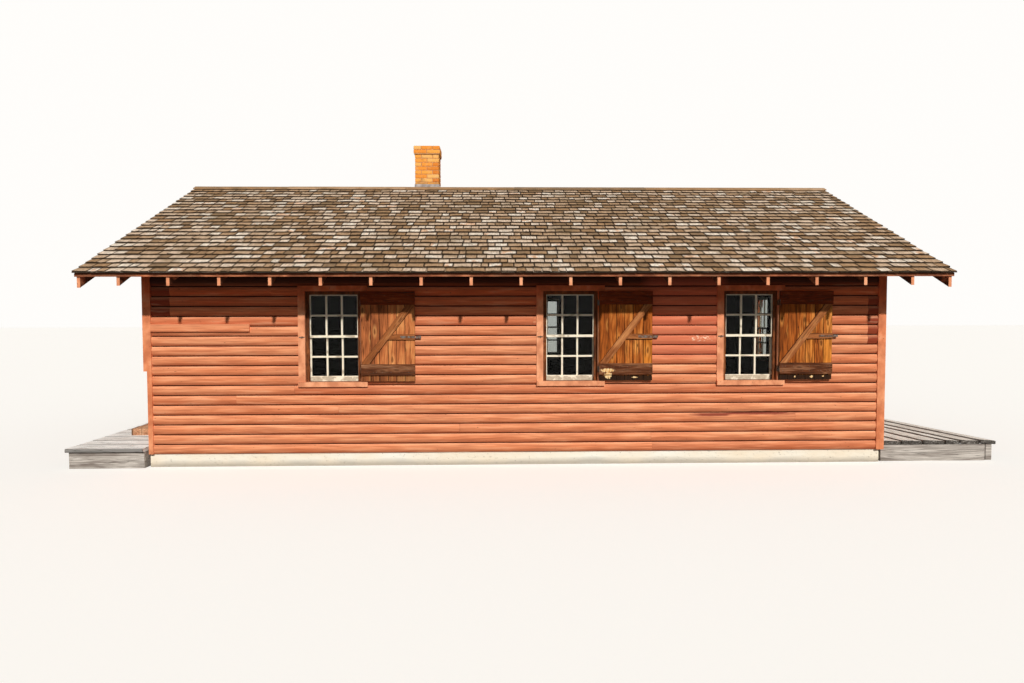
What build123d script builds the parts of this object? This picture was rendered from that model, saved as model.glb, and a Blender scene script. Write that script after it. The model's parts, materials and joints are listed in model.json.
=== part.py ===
"""A timber cabin under a shingled gable roof, as separate pieces.

Millimetres. X runs along the front wall to the right, Y runs from the front wall
to the back, Z is up. The origin is on the ground, in the middle of the underside
of the front foundation wall.
"""

from build123d import *
from math import atan, cos, hypot
import os

# Frame and foundation
frame_length = 9754.0
frame_depth = 5486.0
wall_thickness = 108.0
foundation_width = 200.0
foundation_height = 215.0
floor_thickness = 165.0

# Rafters and roof skin
rafter_count = 17
rafter_spacing = 609.6
rafter_width = 38.0
rafter_height = 140.0
tail_overhang = 718.0
tail_foot_z = 2364.0
roof_slope = 0.460
notch_clearance = 1.0
ridge_board_width = 38.0
ridge_board_height = 184.0
gable_overhang = 490.0
barge_height = 162.0
deck_board = 19.0
trim_height = 38.0
trim_width = 19.0
shingle_exposure = 152.0
shingle_butt = 24.0
shingle_tip = 13.0
shingle_eave_overhang = 38.0
shingle_side_overhang = 13.0
cap_board_width = 110.0
cap_board = 16.0

# Log siding and its corner boards
siding_course = 130.0
siding_belly = 38.0
siding_edge = 14.0
siding_lap = 39.0
trim_joint = 1.0
corner_board = 45.0
corner_leg = 105.0
broken_board_z = 1270.0

# Windows
window_centres = (-2454.0, 682.0, 3093.0)
gable_window_y = 3892.0
window_width = 728.0
window_height = 1196.0
window_sill_z = 1120.0
jamb_board = 19.0
casing_width = 89.0
head_casing = 73.0
casing_board = 45.0
sill_height = 62.0
sill_nose = 25.0
stop_width = 45.0
stop_face = 15.0
board_joint = 0.5
sash_recess = 85.0
sash_thickness = 30.0
sash_stile = 58.0
sash_bottom_rail = 70.0
meeting_rail = 32.0
sash_joint = 1.0
sash_fit = 0.3
glass_thickness = 4.0

# Shutters
shutter_side_gap = 9.0
shutter_end_gap = 8.0
shutter_board = 22.0
ledge_board = 22.0
top_ledge = 172.0
bottom_ledge = 150.0
bottom_ledge_rise = 78.0
middle_ledge = 72.0
middle_ledge_rise = 548.0
brace_width = 88.0
hinge_stand_off = 6.0
shutter_set_back = 2.0
hinge_inset = 110.0
knuckle_radius = 6.0
pin_radius = 4.0
pin_clearance = 0.1
leaf_thickness = 2.5
leaf_height = 76.0
leaf_depth = 34.0
knuckle_gap = 0.3
strap_length = 190.0
strap_height = 32.0
strap_thickness = 3.0
hook_gap = 6.0
hook_length = 70.0
hook_plate = 4.0

# Doors in the gable walls
door_centre_y = 1430.0
door_width = 914.0
door_height = 1980.0
door_thickness = 44.0
door_gap = 3.0
threshold_height = 30.0

# Chimney
chimney_centre_x = -1483.0
chimney_side = 410.0
chimney_behind_ridge = 120.0
chimney_top_z = 4896.0
cap_height = 145.0
cap_corbel = 20.0
flue_side = 200.0
flue_depth = 3500.0
flashing_sheet = 6.0
flashing_rise = 110.0
chimney_clearance = 0.3

# Deck at the right end and landing at the left end
deck_top_z = 267.0
deck_back = 2620.0
plank_thickness = 50.0
plank_gap = 12.0
deck_wall_gap = 0.3
right_planks = (286.0, 286.0, 300.0, 190.0, 265.0, 215.0)
right_deck_front = -60.0
right_deck_fall = 0.042
left_plank_width = 290.0
left_plank_length = 1008.0
left_plank_count = 9
left_landing_front = -210.0
sleeper_width = 90.0
sleeper_count = 4
joist_count = 3
sleeper_inset = 35.0
beam_proud = 10.0
post_width = 82.0
post_inset = 50.0
post_gap = 26.0
step_overhang = 178.0
step_depth = 640.0
step_height = 95.0

# Worked out from the sizes above
half_length = frame_length / 2
frame_front = -foundation_width / 2
frame_back = frame_front + frame_depth
ridge_y = frame_front + frame_depth / 2
angle = atan(roof_slope)
tail_y = frame_front - tail_overhang
siding_bottom = foundation_height - siding_lap
floor_top = foundation_height + floor_thickness
window_head_z = window_sill_z + window_height
barge_face = half_length + gable_overhang
roof_half = barge_face + shingle_side_overhang
deck_lift = rafter_height
shingle_lift = rafter_height + deck_board
barge_outer = barge_face - trim_width
inner_rafters = rafter_count - 2
rafter_places = [(k - (inner_rafters - 1) / 2) * rafter_spacing for k in range(inner_rafters)]
rafter_places = [rafter_width / 2 - half_length] + rafter_places + [half_length - rafter_width / 2]
chimney_front = ridge_y + chimney_behind_ridge
chimney_back = chimney_front + chimney_side
chimney_centre_y = (chimney_front + chimney_back) / 2
ridge_face = ridge_y - ridge_board_width / 2

os.makedirs("parts", exist_ok=True)


def roof_z(y, lift=0.0):
    """Height of the plane that lies a lift above the rafters' undersides."""
    run = y if y <= ridge_y else 2 * ridge_y - y
    return tail_foot_z + (run - tail_y) * roof_slope + lift / cos(angle)


ridge_top = roof_z(ridge_face, deck_lift)
ridge_foot = ridge_top - ridge_board_height


def to_back(points):
    """The same outline on the back slope, mirrored across the ridge."""
    return [(2 * ridge_y - y, z) for y, z in points]


def outline(points, x):
    """A closed outline across the building, in the upright plane at x."""
    with BuildSketch(Plane.YZ.offset(x)) as sketch:
        with BuildLine():
            Polyline(*points, close=True)
        make_face()
    return sketch.sketch


def plan(x_low, x_high, y_low, y_high, z):
    """A level rectangle between two corners."""
    with BuildSketch(Plane.XY.offset(z)) as sketch:
        with Locations(((x_low + x_high) / 2, (y_low + y_high) / 2)):
            Rectangle(x_high - x_low, y_high - y_low)
    return sketch.sketch


def block(x_low, x_high, y_low, y_high, z_low, z_high, mode=Mode.ADD):
    """A board or slab between two corners, in the part being built."""
    extrude(plan(x_low, x_high, y_low, y_high, z_low), amount=z_high - z_low, mode=mode)


def save(piece, name):
    """Label a finished piece and write its file."""
    piece.part.label = name
    export_step(piece.part, f"parts/{name}.step")


# Foundation: a concrete kerb wall under the outer walls
with BuildPart() as foundation:
    block(-half_length, half_length, frame_front, frame_back, 0, foundation_height)
    block(
        foundation_width - half_length,
        half_length - foundation_width,
        frame_front + foundation_width,
        frame_back - foundation_width,
        0,
        foundation_height,
        mode=Mode.SUBTRACT,
    )
save(foundation, "foundation")

# Floor: joists and boards as one slab on the inner ledge, with a hole for the chimney
with BuildPart() as floor:
    block(
        wall_thickness - half_length,
        half_length - wall_thickness,
        frame_front + wall_thickness,
        frame_back - wall_thickness,
        foundation_height,
        floor_top,
    )
    reach = chimney_side / 2 + chimney_clearance
    block(
        chimney_centre_x - reach,
        chimney_centre_x + reach,
        chimney_centre_y - reach,
        chimney_centre_y + reach,
        foundation_height,
        floor_top,
        mode=Mode.SUBTRACT,
    )
save(floor, "floor")


def long_wall(outer_y, inner_y):
    """A front or back wall: its top follows the slope and is notched for the rafters."""
    top = [(outer_y, foundation_height), (inner_y, foundation_height)]
    top += [(inner_y, roof_z(inner_y, deck_lift)), (outer_y, roof_z(outer_y, deck_lift))]
    with BuildPart() as wall:
        extrude(outline(top, -half_length), amount=frame_length)
        notch = [(outer_y, roof_z(outer_y)), (inner_y, roof_z(inner_y))]
        notch += [(y, roof_z(y, 2 * deck_lift)) for y in (inner_y, outer_y)]
        for x in rafter_places:
            slot = rafter_width / 2 + notch_clearance
            extrude(outline(notch, x - slot), amount=2 * slot, mode=Mode.SUBTRACT)
        low, high = sorted((outer_y, inner_y))
        for centre in window_centres:
            rough = window_width / 2 + jamb_board
            block(
                centre - rough,
                centre + rough,
                low,
                high,
                window_sill_z - jamb_board,
                window_head_z + jamb_board,
                mode=Mode.SUBTRACT,
            )
    return wall


front_wall = long_wall(frame_front, frame_front + wall_thickness)
save(front_wall, "front_wall")
back_wall = long_wall(frame_back, frame_back - wall_thickness)
save(back_wall, "back_wall")


def gable_wall(x_low):
    """An end wall: a pentagon under the end rafters, with a door and a window."""
    y_low = frame_front + wall_thickness
    y_high = frame_back - wall_thickness
    face = [(y_low, foundation_height), (y_high, foundation_height)]
    face += [(y_high, roof_z(y_high)), (ridge_y, roof_z(ridge_y)), (y_low, roof_z(y_low))]
    with BuildPart() as wall:
        extrude(outline(face, x_low), amount=wall_thickness)
        rough = window_width / 2 + jamb_board
        block(
            x_low,
            x_low + wall_thickness,
            gable_window_y - rough,
            gable_window_y + rough,
            window_sill_z - jamb_board,
            window_head_z + jamb_board,
            mode=Mode.SUBTRACT,
        )
        rough = door_width / 2 + jamb_board
        block(
            x_low,
            x_low + wall_thickness,
            door_centre_y - rough,
            door_centre_y + rough,
            floor_top,
            floor_top + door_height + jamb_board,
            mode=Mode.SUBTRACT,
        )
        slot = ridge_board_width / 2 + notch_clearance
        block(
            x_low,
            x_low + wall_thickness,
            ridge_y - slot,
            ridge_y + slot,
            ridge_foot,
            ridge_top,
            mode=Mode.SUBTRACT,
        )
    return wall


left_wall = gable_wall(-half_length)
save(left_wall, "left_wall")
right_wall = gable_wall(half_length - wall_thickness)
save(right_wall, "right_wall")


def log_face(start, outward, height):
    """The outline of stacked half-round log courses, as (distance across, height).

    Each course swells from the groove to its belly in one arc. The back is flat.
    """
    courses = int((height - siding_bottom) / siding_course) + 1
    with BuildLine() as line:
        for k in range(courses):
            low = siding_bottom + k * siding_course
            ThreePointArc(
                (start + outward * siding_edge, low),
                (start + outward * siding_belly, low + siding_course / 2),
                (start + outward * siding_edge, low + siding_course),
            )
        top = siding_bottom + courses * siding_course
        Polyline(
            (start + outward * siding_edge, siding_bottom),
            (start, siding_bottom),
            (start, top),
            (start + outward * siding_edge, top),
        )
    return line.line


def cut_around_window(across_low, across_high, along_centre, along_x):
    """Clear the siding from the casings and the sill of one window."""
    half = window_width / 2 + casing_width + trim_joint
    bottom = window_sill_z - sill_height - trim_joint
    top = window_head_z + head_casing + trim_joint
    if along_x:
        box = (along_centre - half, along_centre + half, across_low, across_high)
    else:
        box = (across_low, across_high, along_centre - half, along_centre + half)
    block(*box, bottom, top, mode=Mode.SUBTRACT)


def long_siding(face_y, outward):
    """Log siding on the front or back wall, between the corner boards."""
    reach = half_length - (corner_leg - corner_board) - trim_joint
    with BuildPart() as siding:
        with BuildSketch(Plane.YZ.offset(-reach)) as profile:
            add(log_face(face_y, outward, roof_z(face_y)))
            make_face()
        extrude(profile.sketch, amount=2 * reach)
        outer = face_y + outward * 2 * siding_belly
        crest = roof_z(face_y) + 2 * siding_course
        above = [(face_y, roof_z(face_y)), (outer, roof_z(outer)), (outer, crest), (face_y, crest)]
        extrude(outline(above, -reach), amount=2 * reach, mode=Mode.SUBTRACT)
        for centre in window_centres:
            cut_around_window(*sorted((face_y, outer)), centre, True)
    return siding


front_siding = long_siding(frame_front, -1)
save(front_siding, "front_siding")
back_siding = long_siding(frame_back, 1)
save(back_siding, "back_siding")


def gable_siding(face_x, outward):
    """Log siding on an end wall, up to the underside of the roof boards."""
    reach = frame_depth / 2 - (corner_leg - corner_board) - trim_joint
    y_low = ridge_y - reach
    y_high = ridge_y + reach
    with BuildPart() as siding:
        with BuildSketch(Plane.XZ.offset(-y_high)) as profile:
            add(log_face(face_x, outward, roof_z(ridge_y, deck_lift)))
            make_face()
        extrude(profile.sketch, amount=y_high - y_low)
        outer = face_x + outward * 2 * siding_belly
        x_low, x_high = sorted((face_x, outer))
        crest = roof_z(ridge_y, deck_lift)
        above = [(y, roof_z(y, deck_lift)) for y in (y_low, ridge_y, y_high)]
        above += [(y_high, crest + 2 * siding_course), (y_low, crest + 2 * siding_course)]
        extrude(outline(above, x_low), amount=x_high - x_low, mode=Mode.SUBTRACT)
        cut_around_window(x_low, x_high, gable_window_y, False)
        half = door_width / 2 + casing_width + trim_joint
        door_top = floor_top + door_height + casing_width + trim_joint
        sill_low = floor_top - threshold_height - trim_joint
        block(
            x_low,
            x_high,
            door_centre_y - half,
            door_centre_y + half,
            sill_low,
            door_top,
            mode=Mode.SUBTRACT,
        )
        slot = ridge_board_width / 2 + notch_clearance
        foot = ridge_foot - notch_clearance
        block(x_low, x_high, ridge_y - slot, ridge_y + slot, foot, crest, mode=Mode.SUBTRACT)
    return siding


left_siding = gable_siding(-half_length, -1)
save(left_siding, "left_siding")
right_siding = gable_siding(half_length, 1)
save(right_siding, "right_siding")

# Corner boards: an L of two boards at each corner. The lower end of the left one
# is broken off at the front.
with BuildPart() as corner_boards:
    outer_x = half_length + corner_board
    outer_y = frame_depth / 2 + corner_board
    board_top = roof_z(frame_front - corner_board)
    for side_x in (-1, 1):
        for side_y in (-1, 1):
            with BuildSketch(Plane.XY.offset(siding_bottom)) as angle_shape:
                with BuildLine():
                    Polyline(
                        (side_x * outer_x, ridge_y + side_y * outer_y),
                        (side_x * (outer_x - corner_leg), ridge_y + side_y * outer_y),
                        (side_x * (outer_x - corner_leg), ridge_y + side_y * (outer_y - corner_board)),
                        (side_x * half_length, ridge_y + side_y * (outer_y - corner_board)),
                        (side_x * half_length, ridge_y + side_y * (outer_y - corner_leg)),
                        (side_x * outer_x, ridge_y + side_y * (outer_y - corner_leg)),
                        close=True,
                    )
                make_face()
            extrude(angle_shape.sketch, amount=board_top - siding_bottom)
    block(
        -outer_x,
        -half_length,
        ridge_y - outer_y,
        ridge_y - outer_y + corner_leg,
        siding_bottom,
        broken_board_z,
        mode=Mode.SUBTRACT,
    )
save(corner_boards, "corner_boards")


# Rafters: both slopes, cut plumb at the tail and at the ridge board
def rafter_outline(depth):
    """A rafter of the given depth, with its top under the roof boards."""
    foot = rafter_height - depth
    points = [(tail_y, roof_z(tail_y, foot)), (tail_y, roof_z(tail_y, deck_lift))]
    points += [(ridge_face, roof_z(ridge_face, deck_lift)), (ridge_face, roof_z(ridge_face, foot))]
    return points


with BuildPart() as rafters:
    for x in rafter_places:
        for points in (rafter_outline(rafter_height), to_back(rafter_outline(rafter_height))):
            extrude(outline(points, x - rafter_width / 2), amount=rafter_width)
save(rafters, "rafters")

with BuildPart() as barge_rafters:
    for x in (-barge_outer, barge_outer - rafter_width):
        for points in (rafter_outline(barge_height), to_back(rafter_outline(barge_height))):
            extrude(outline(points, x), amount=rafter_width)
save(barge_rafters, "barge_rafters")

with BuildPart() as ridge_board:
    block(-barge_outer, barge_outer, ridge_face, ridge_face + ridge_board_width, ridge_foot, ridge_top)
save(ridge_board, "ridge_board")


def chimney_hole(spread):
    """Cut a plumb shaft for the chimney through a piece of the back slope."""
    half = chimney_side / 2 + spread
    block(
        chimney_centre_x - half,
        chimney_centre_x + half,
        chimney_centre_y - half,
        chimney_centre_y + half,
        foundation_height,
        chimney_top_z,
        mode=Mode.SUBTRACT,
    )


# Roof boards: one sheet of close boards on each slope
deck_eave = tail_y - trim_width
deck_points = [(deck_eave, roof_z(deck_eave, deck_lift)), (deck_eave, roof_z(deck_eave, shingle_lift))]
deck_points += [(ridge_y, roof_z(ridge_y, shingle_lift)), (ridge_y, roof_z(ridge_y, deck_lift))]

with BuildPart() as front_roof_boards:
    extrude(outline(deck_points, -barge_face), amount=2 * barge_face)
save(front_roof_boards, "front_roof_boards")

with BuildPart() as back_roof_boards:
    extrude(outline(to_back(deck_points), -barge_face), amount=2 * barge_face)
    chimney_hole(chimney_clearance)
save(back_roof_boards, "back_roof_boards")

# Shingles: each course is a wedge that laps the next, thick at its butt
shingle_edge = deck_eave - shingle_eave_overhang
slope_length = (ridge_y - shingle_edge) * hypot(1, roof_slope)


def shingle_outline():
    """The stepped outline of all courses, from the eave to the ridge."""
    points = [(y, roof_z(y, shingle_lift)) for y in (ridge_y, shingle_edge)]
    along = 0.0
    while along < slope_length:
        end = min(along + shingle_exposure, slope_length)
        thin = shingle_butt + (shingle_tip - shingle_butt) * (end - along) / shingle_exposure
        low = shingle_edge + along * cos(angle)
        high = shingle_edge + end * cos(angle)
        points.append((low, roof_z(low, shingle_lift + shingle_butt)))
        points.append((high, roof_z(high, shingle_lift + thin)))
        along += shingle_exposure
    return points


with BuildPart() as front_shingles:
    extrude(outline(shingle_outline(), -roof_half), amount=2 * roof_half)
save(front_shingles, "front_shingles")

with BuildPart() as back_shingles:
    extrude(outline(to_back(shingle_outline()), -roof_half), amount=2 * roof_half)
    chimney_hole(flashing_sheet + 2 * chimney_clearance)
save(back_shingles, "back_shingles")

# Ridge cap: two boards that meet over the ridge
cap_lift = shingle_lift + shingle_butt
with BuildPart() as ridge_cap:
    cap_foot = ridge_y - cap_board_width * cos(angle)
    cap_points = [(cap_foot, roof_z(cap_foot, lift)) for lift in (cap_lift, cap_lift + cap_board)]
    cap_points += [(ridge_y, roof_z(ridge_y, cap_lift + cap_board))]
    cap_points += to_back(cap_points[:2])[::-1] + [(ridge_y, roof_z(ridge_y, cap_lift))]
    extrude(outline(cap_points, -roof_half), amount=2 * roof_half)
save(ridge_cap, "ridge_cap")

# Roof trims: a thin strip over the rafter ends at each eave, and one along the outer
# face of each barge rafter, all close under the roof boards
rake_start = tail_y + board_joint
rake_end = ridge_y - board_joint
with BuildPart() as roof_trims:
    trim_top = roof_z(deck_eave, deck_lift)
    trim_points = [(deck_eave, trim_top), (tail_y, roof_z(tail_y, deck_lift))]
    trim_points += [(tail_y, trim_top - trim_height), (deck_eave, trim_top - trim_height)]
    for points in (trim_points, to_back(trim_points)):
        extrude(outline(points, -barge_face), amount=2 * barge_face)
    rake_points = [(rake_start, roof_z(rake_start, deck_lift)), (rake_end, roof_z(rake_end, deck_lift))]
    rake_points += [(y, roof_z(y, deck_lift - trim_height)) for y in (rake_end, rake_start)]
    for points in (rake_points, to_back(rake_points)):
        for x in (-barge_face, barge_outer):
            extrude(outline(points, x), amount=trim_width)
save(roof_trims, "roof_trims")

# Chimney: a brick stack from the ground, with an open flue and a corbelled top
stack_top = chimney_top_z - cap_height


def square_at(half, z):
    """A level square round the chimney's axis."""
    return plan(
        chimney_centre_x - half,
        chimney_centre_x + half,
        chimney_centre_y - half,
        chimney_centre_y + half,
        z,
    )


with BuildPart() as chimney_stack:
    extrude(square_at(chimney_side / 2, 0), amount=stack_top)
    flue_foot = chimney_top_z - flue_depth
    extrude(square_at(flue_side / 2, flue_foot), amount=stack_top - flue_foot, mode=Mode.SUBTRACT)
save(chimney_stack, "chimney_stack")

with BuildPart() as chimney_cap:
    extrude(square_at(chimney_side / 2 + cap_corbel, stack_top), amount=cap_height)
    extrude(square_at(flue_side / 2, stack_top), amount=cap_height, mode=Mode.SUBTRACT)
save(chimney_cap, "chimney_cap")

# Flashing: a sheet collar that stands on the roof boards round the chimney
with BuildPart() as chimney_flashing:
    collar_top = roof_z(ridge_y, shingle_lift) + flashing_rise
    collar_foot = roof_z(chimney_back + 2 * flashing_sheet)
    inner = chimney_side / 2 + chimney_clearance
    extrude(square_at(inner + flashing_sheet, collar_foot), amount=collar_top - collar_foot)
    extrude(square_at(inner, collar_foot), amount=collar_top - collar_foot, mode=Mode.SUBTRACT)
    side = inner + flashing_sheet
    y_low = chimney_centre_y - side
    y_high = chimney_centre_y + side
    under = [(y_low, roof_z(y_low, shingle_lift)), (y_high, roof_z(y_high, shingle_lift))]
    under += [(y_high, collar_foot - flashing_rise), (y_low, collar_foot - flashing_rise)]
    extrude(outline(under, chimney_centre_x - side), amount=2 * side, mode=Mode.SUBTRACT)
save(chimney_flashing, "chimney_flashing")

# Windows. Each wall face is a frame of axes: a point on the face, the way along it
# and the way out of it. The same boards are laid out on every face.
front_face = Plane(origin=(0, frame_front, 0), x_dir=(1, 0, 0), z_dir=(0, -1, 0))
back_face = Plane(origin=(0, frame_back, 0), x_dir=(-1, 0, 0), z_dir=(0, 1, 0))
left_face = Plane(origin=(-half_length, 0, 0), x_dir=(0, -1, 0), z_dir=(-1, 0, 0))
right_face = Plane(origin=(half_length, 0, 0), x_dir=(0, 1, 0), z_dir=(1, 0, 0))
window_places = [(front_face, x) for x in window_centres]
window_places += [(back_face, -x) for x in window_centres]
window_places += [(left_face, -gable_window_y), (right_face, gable_window_y)]
door_places = [(left_face, -door_centre_y), (right_face, door_centre_y)]


def board_on(face, u_low, u_high, z_low, z_high, out_low, out_high):
    """A board on a wall face, from one depth to another measured outwards."""
    with BuildSketch(face.offset(out_low)) as sketch:
        with Locations(((u_low + u_high) / 2, (z_low + z_high) / 2)):
            Rectangle(u_high - u_low, z_high - z_low)
    extrude(sketch.sketch, amount=out_high - out_low)


def ring_on(face, u_low, u_high, z_low, z_high, sides, foot, head, out_low, out_high):
    """A sash: a rectangle with an opening, cut from one board."""
    with BuildSketch(face.offset(out_low)) as sketch:
        with Locations(((u_low + u_high) / 2, (z_low + z_high) / 2)):
            Rectangle(u_high - u_low, z_high - z_low)
        with Locations(((u_low + u_high) / 2, (z_low + foot + z_high - head) / 2)):
            Rectangle(u_high - u_low - 2 * sides, z_high - z_low - foot - head, mode=Mode.SUBTRACT)
    extrude(sketch.sketch, amount=out_high - out_low)


half_window = window_width / 2
upright_low = window_sill_z + board_joint
upright_high = window_head_z - board_joint

with BuildPart() as window_casings:
    for face, u in window_places:
        edge = half_window + casing_width
        for side in (-1, 1):
            low, high = sorted((u + side * half_window, u + side * edge))
            board_on(face, low, high, upright_low, upright_high, 0, casing_board)
        board_on(face, u - edge, u + edge, window_head_z, window_head_z + head_casing, 0, casing_board)
        sill_out = casing_board + sill_nose
        board_on(face, u - edge, u + edge, window_sill_z - sill_height, window_sill_z, 0, sill_out)
save(window_casings, "window_casings")

# Double-hung sashes: the upper one outside, the lower one inside
upper_out = casing_board - sash_recess

# Jambs round each opening, and stops in front of the sash on its sides and head
with BuildPart() as window_jambs:
    for face, u in window_places:
        edge = half_window + jamb_board
        for side in (-1, 1):
            low, high = sorted((u + side * half_window, u + side * edge))
            board_on(face, low, high, upright_low, upright_high, -wall_thickness, 0)
        for low in (window_sill_z - jamb_board, window_head_z):
            board_on(face, u - edge, u + edge, low, low + jamb_board, -wall_thickness, 0)
        stop_back = upper_out + board_joint
        edge = half_window - board_joint
        head_low = upright_high - stop_width
        for side in (-1, 1):
            low, high = sorted((u + side * (edge - stop_width), u + side * edge))
            board_on(face, low, high, upright_low, head_low - board_joint, stop_back, -stop_face)
        board_on(face, u - edge, u + edge, head_low, upright_high, stop_back, -stop_face)
save(window_jambs, "window_jambs")

lower_out = upper_out - sash_thickness - sash_joint
meeting_z = (window_sill_z + window_head_z) / 2
sash_half = half_window - sash_fit
sash_rows = (
    (meeting_z - meeting_rail / 2, window_head_z - sash_fit, meeting_rail, sash_stile, upper_out),
    (window_sill_z + sash_fit, meeting_z + meeting_rail / 2, sash_bottom_rail, meeting_rail, lower_out),
)

with BuildPart() as window_sashes:
    for face, u in window_places:
        for low, high, foot, head, out in sash_rows:
            left, right = u - sash_half, u + sash_half
            ring_on(face, left, right, low, high, sash_stile, foot, head, out - sash_thickness, out)
save(window_sashes, "window_sashes")

with BuildPart() as window_glass:
    for face, u in window_places:
        for low, high, foot, head, out in sash_rows:
            half = sash_half - sash_stile
            inner = out - (sash_thickness + glass_thickness) / 2
            outer = inner + glass_thickness
            board_on(face, u - half, u + half, low + foot, high - head, inner, outer)
save(window_glass, "window_glass")

# Shutters: boards with three ledges and a brace, folded open to the right
axis_out = casing_board + hinge_stand_off
shutter_width = window_width - 2 * shutter_side_gap
shutter_low = window_sill_z + shutter_end_gap
shutter_high = window_head_z - shutter_end_gap
shutter_near = axis_out + shutter_set_back
shutter_face = shutter_near + shutter_board
shutter_outer = shutter_face + ledge_board
ledge_foot = shutter_low + bottom_ledge_rise
brace_foot = ledge_foot + bottom_ledge
brace_head = shutter_high - top_ledge


def shutter_on(face, hinge_u):
    """A ledged and braced shutter whose hinge edge is beside the axis."""
    left = hinge_u + shutter_side_gap
    right = left + shutter_width
    board_on(face, left, right, shutter_low, shutter_high, shutter_near, shutter_face)
    board_on(face, left, right, brace_head, shutter_high, shutter_face, shutter_outer)
    board_on(face, left, right, ledge_foot, brace_foot, shutter_face, shutter_outer)
    rise = brace_head - brace_foot
    run = shutter_width
    lean = brace_width * hypot(rise, run - brace_width) / rise
    with BuildSketch(face.offset(shutter_face)) as brace:
        with BuildLine():
            Polyline(
                (left, brace_foot),
                (left + lean, brace_foot),
                (right, brace_head),
                (right - lean, brace_head),
                close=True,
            )
        make_face()
    extrude(brace.sketch, amount=ledge_board)
    middle_low = shutter_low + middle_ledge_rise
    reach = (middle_low - brace_foot) / rise * (run - lean) + lean
    tip = (middle_low + middle_ledge - brace_foot) / rise * (run - lean) + lean
    with BuildSketch(face.offset(shutter_face)) as rail:
        with BuildLine():
            Polyline(
                (left + reach - lean / 2, middle_low),
                (right, middle_low),
                (right, middle_low + middle_ledge),
                (left + tip - lean / 2, middle_low + middle_ledge),
                close=True,
            )
        make_face()
    extrude(rail.sketch, amount=ledge_board)


hinge_heights = (shutter_low + hinge_inset, shutter_high - hinge_inset - leaf_height)
knuckle = leaf_height / 3
leaf_edge = hinge_stand_off + knuckle_radius


def barrel_on(face, hinge_u, z_low, z_high, radius, mode=Mode.ADD):
    """A round piece on the upright hinge axis beside a window."""
    axis = face.from_local_coords((hinge_u, z_low, axis_out))
    with BuildSketch(Plane(origin=axis, z_dir=(0, 0, 1))) as sketch:
        Circle(radius)
    extrude(sketch.sketch, amount=z_high - z_low, mode=mode)


def shutter_leaves(face, hinge_u):
    """The shutter's own hinge leaves, on its edge beside the axis."""
    edge = hinge_u + shutter_side_gap
    for z in hinge_heights:
        low = z + knuckle + knuckle_gap
        high = z + 2 * knuckle - knuckle_gap
        barrel_on(face, hinge_u, low, high, knuckle_radius)
        board_on(face, hinge_u, edge, low, high, axis_out, axis_out + leaf_thickness)
        inner = edge - leaf_thickness
        board_on(face, inner, edge, z, z + leaf_height, axis_out + leaf_thickness, shutter_outer)
        board_on(face, inner, edge, low, high, axis_out, shutter_outer)
        barrel_on(face, hinge_u, z, z + leaf_height, pin_radius + pin_clearance, mode=Mode.SUBTRACT)


def strap_on(face, hinge_u):
    """The iron strap along the free end of the middle ledge."""
    low = shutter_low + middle_ledge_rise + (middle_ledge - strap_height) / 2
    right = hinge_u + shutter_side_gap + shutter_width
    outer = shutter_outer + strap_thickness
    board_on(face, right - strap_length, right, low, low + strap_height, shutter_outer, outer)


for name, centre in zip(("left", "middle", "right"), window_centres):
    hinge = centre + half_window
    with BuildPart() as shutter:
        shutter_on(front_face, hinge)
    save(shutter, f"{name}_shutter")
    with BuildPart() as irons:
        shutter_leaves(front_face, hinge)
        strap_on(front_face, hinge)
    save(irons, f"{name}_shutter_irons")

# Hinge leaves and pins on the window casings, one pair a shutter
with BuildPart() as hinge_pins:
    for face, u in window_places:
        hinge = u + half_window
        leaf = hinge - leaf_thickness
        root = casing_board - leaf_depth
        for z in hinge_heights:
            barrel_on(face, hinge, z, z + leaf_height, pin_radius)
            for low in (z, z + 2 * knuckle):
                barrel_on(face, hinge, low, low + knuckle, knuckle_radius)
                board_on(face, leaf, hinge, low, low + knuckle, root, axis_out)
            board_on(face, leaf, hinge, z, z + leaf_height, root, axis_out - leaf_edge)
save(hinge_pins, "hinge_pins")

# Leaves and straps of the shutters on the back and gable windows
with BuildPart() as back_shutter_irons:
    for face, u in window_places[len(window_centres) :]:
        shutter_leaves(face, u + half_window)
        strap_on(face, u + half_window)
save(back_shutter_irons, "back_shutter_irons")


def siding_out(z_low, z_high):
    """How far the log face swells anywhere between two heights, out from the frame."""
    middle = (z_low + z_high) / 2
    course = int((middle - siding_bottom) / siding_course)
    course_centre = siding_bottom + (course + 0.5) * siding_course
    away = max(0.0, max(z_low - course_centre, course_centre - z_high))
    rise = siding_belly - siding_edge
    radius = ((siding_course / 2) ** 2 + rise**2) / (2 * rise)
    return siding_belly - radius + (radius**2 - away**2) ** 0.5


# Holding hooks on the wall, just past each open shutter
with BuildPart() as shutter_hooks:
    for centre in window_centres:
        left = centre + half_window + shutter_side_gap + shutter_width + hook_gap
        right = left + hook_length
        low = shutter_low + middle_ledge_rise + (middle_ledge - strap_height) / 2
        high = low + strap_height
        root = siding_out(low, high) + sash_fit
        board_on(front_face, left, right, low, high, shutter_face, shutter_face + hook_plate)
        board_on(front_face, right - 2 * hook_plate, right, low, high, root, shutter_face)
save(shutter_hooks, "shutter_hooks")

with BuildPart() as back_shutters:
    for centre in window_centres:
        shutter_on(back_face, half_window - centre)
save(back_shutters, "back_shutters")

with BuildPart() as gable_shutters:
    shutter_on(left_face, half_window - gable_window_y)
    shutter_on(right_face, gable_window_y + half_window)
save(gable_shutters, "gable_shutters")

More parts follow.
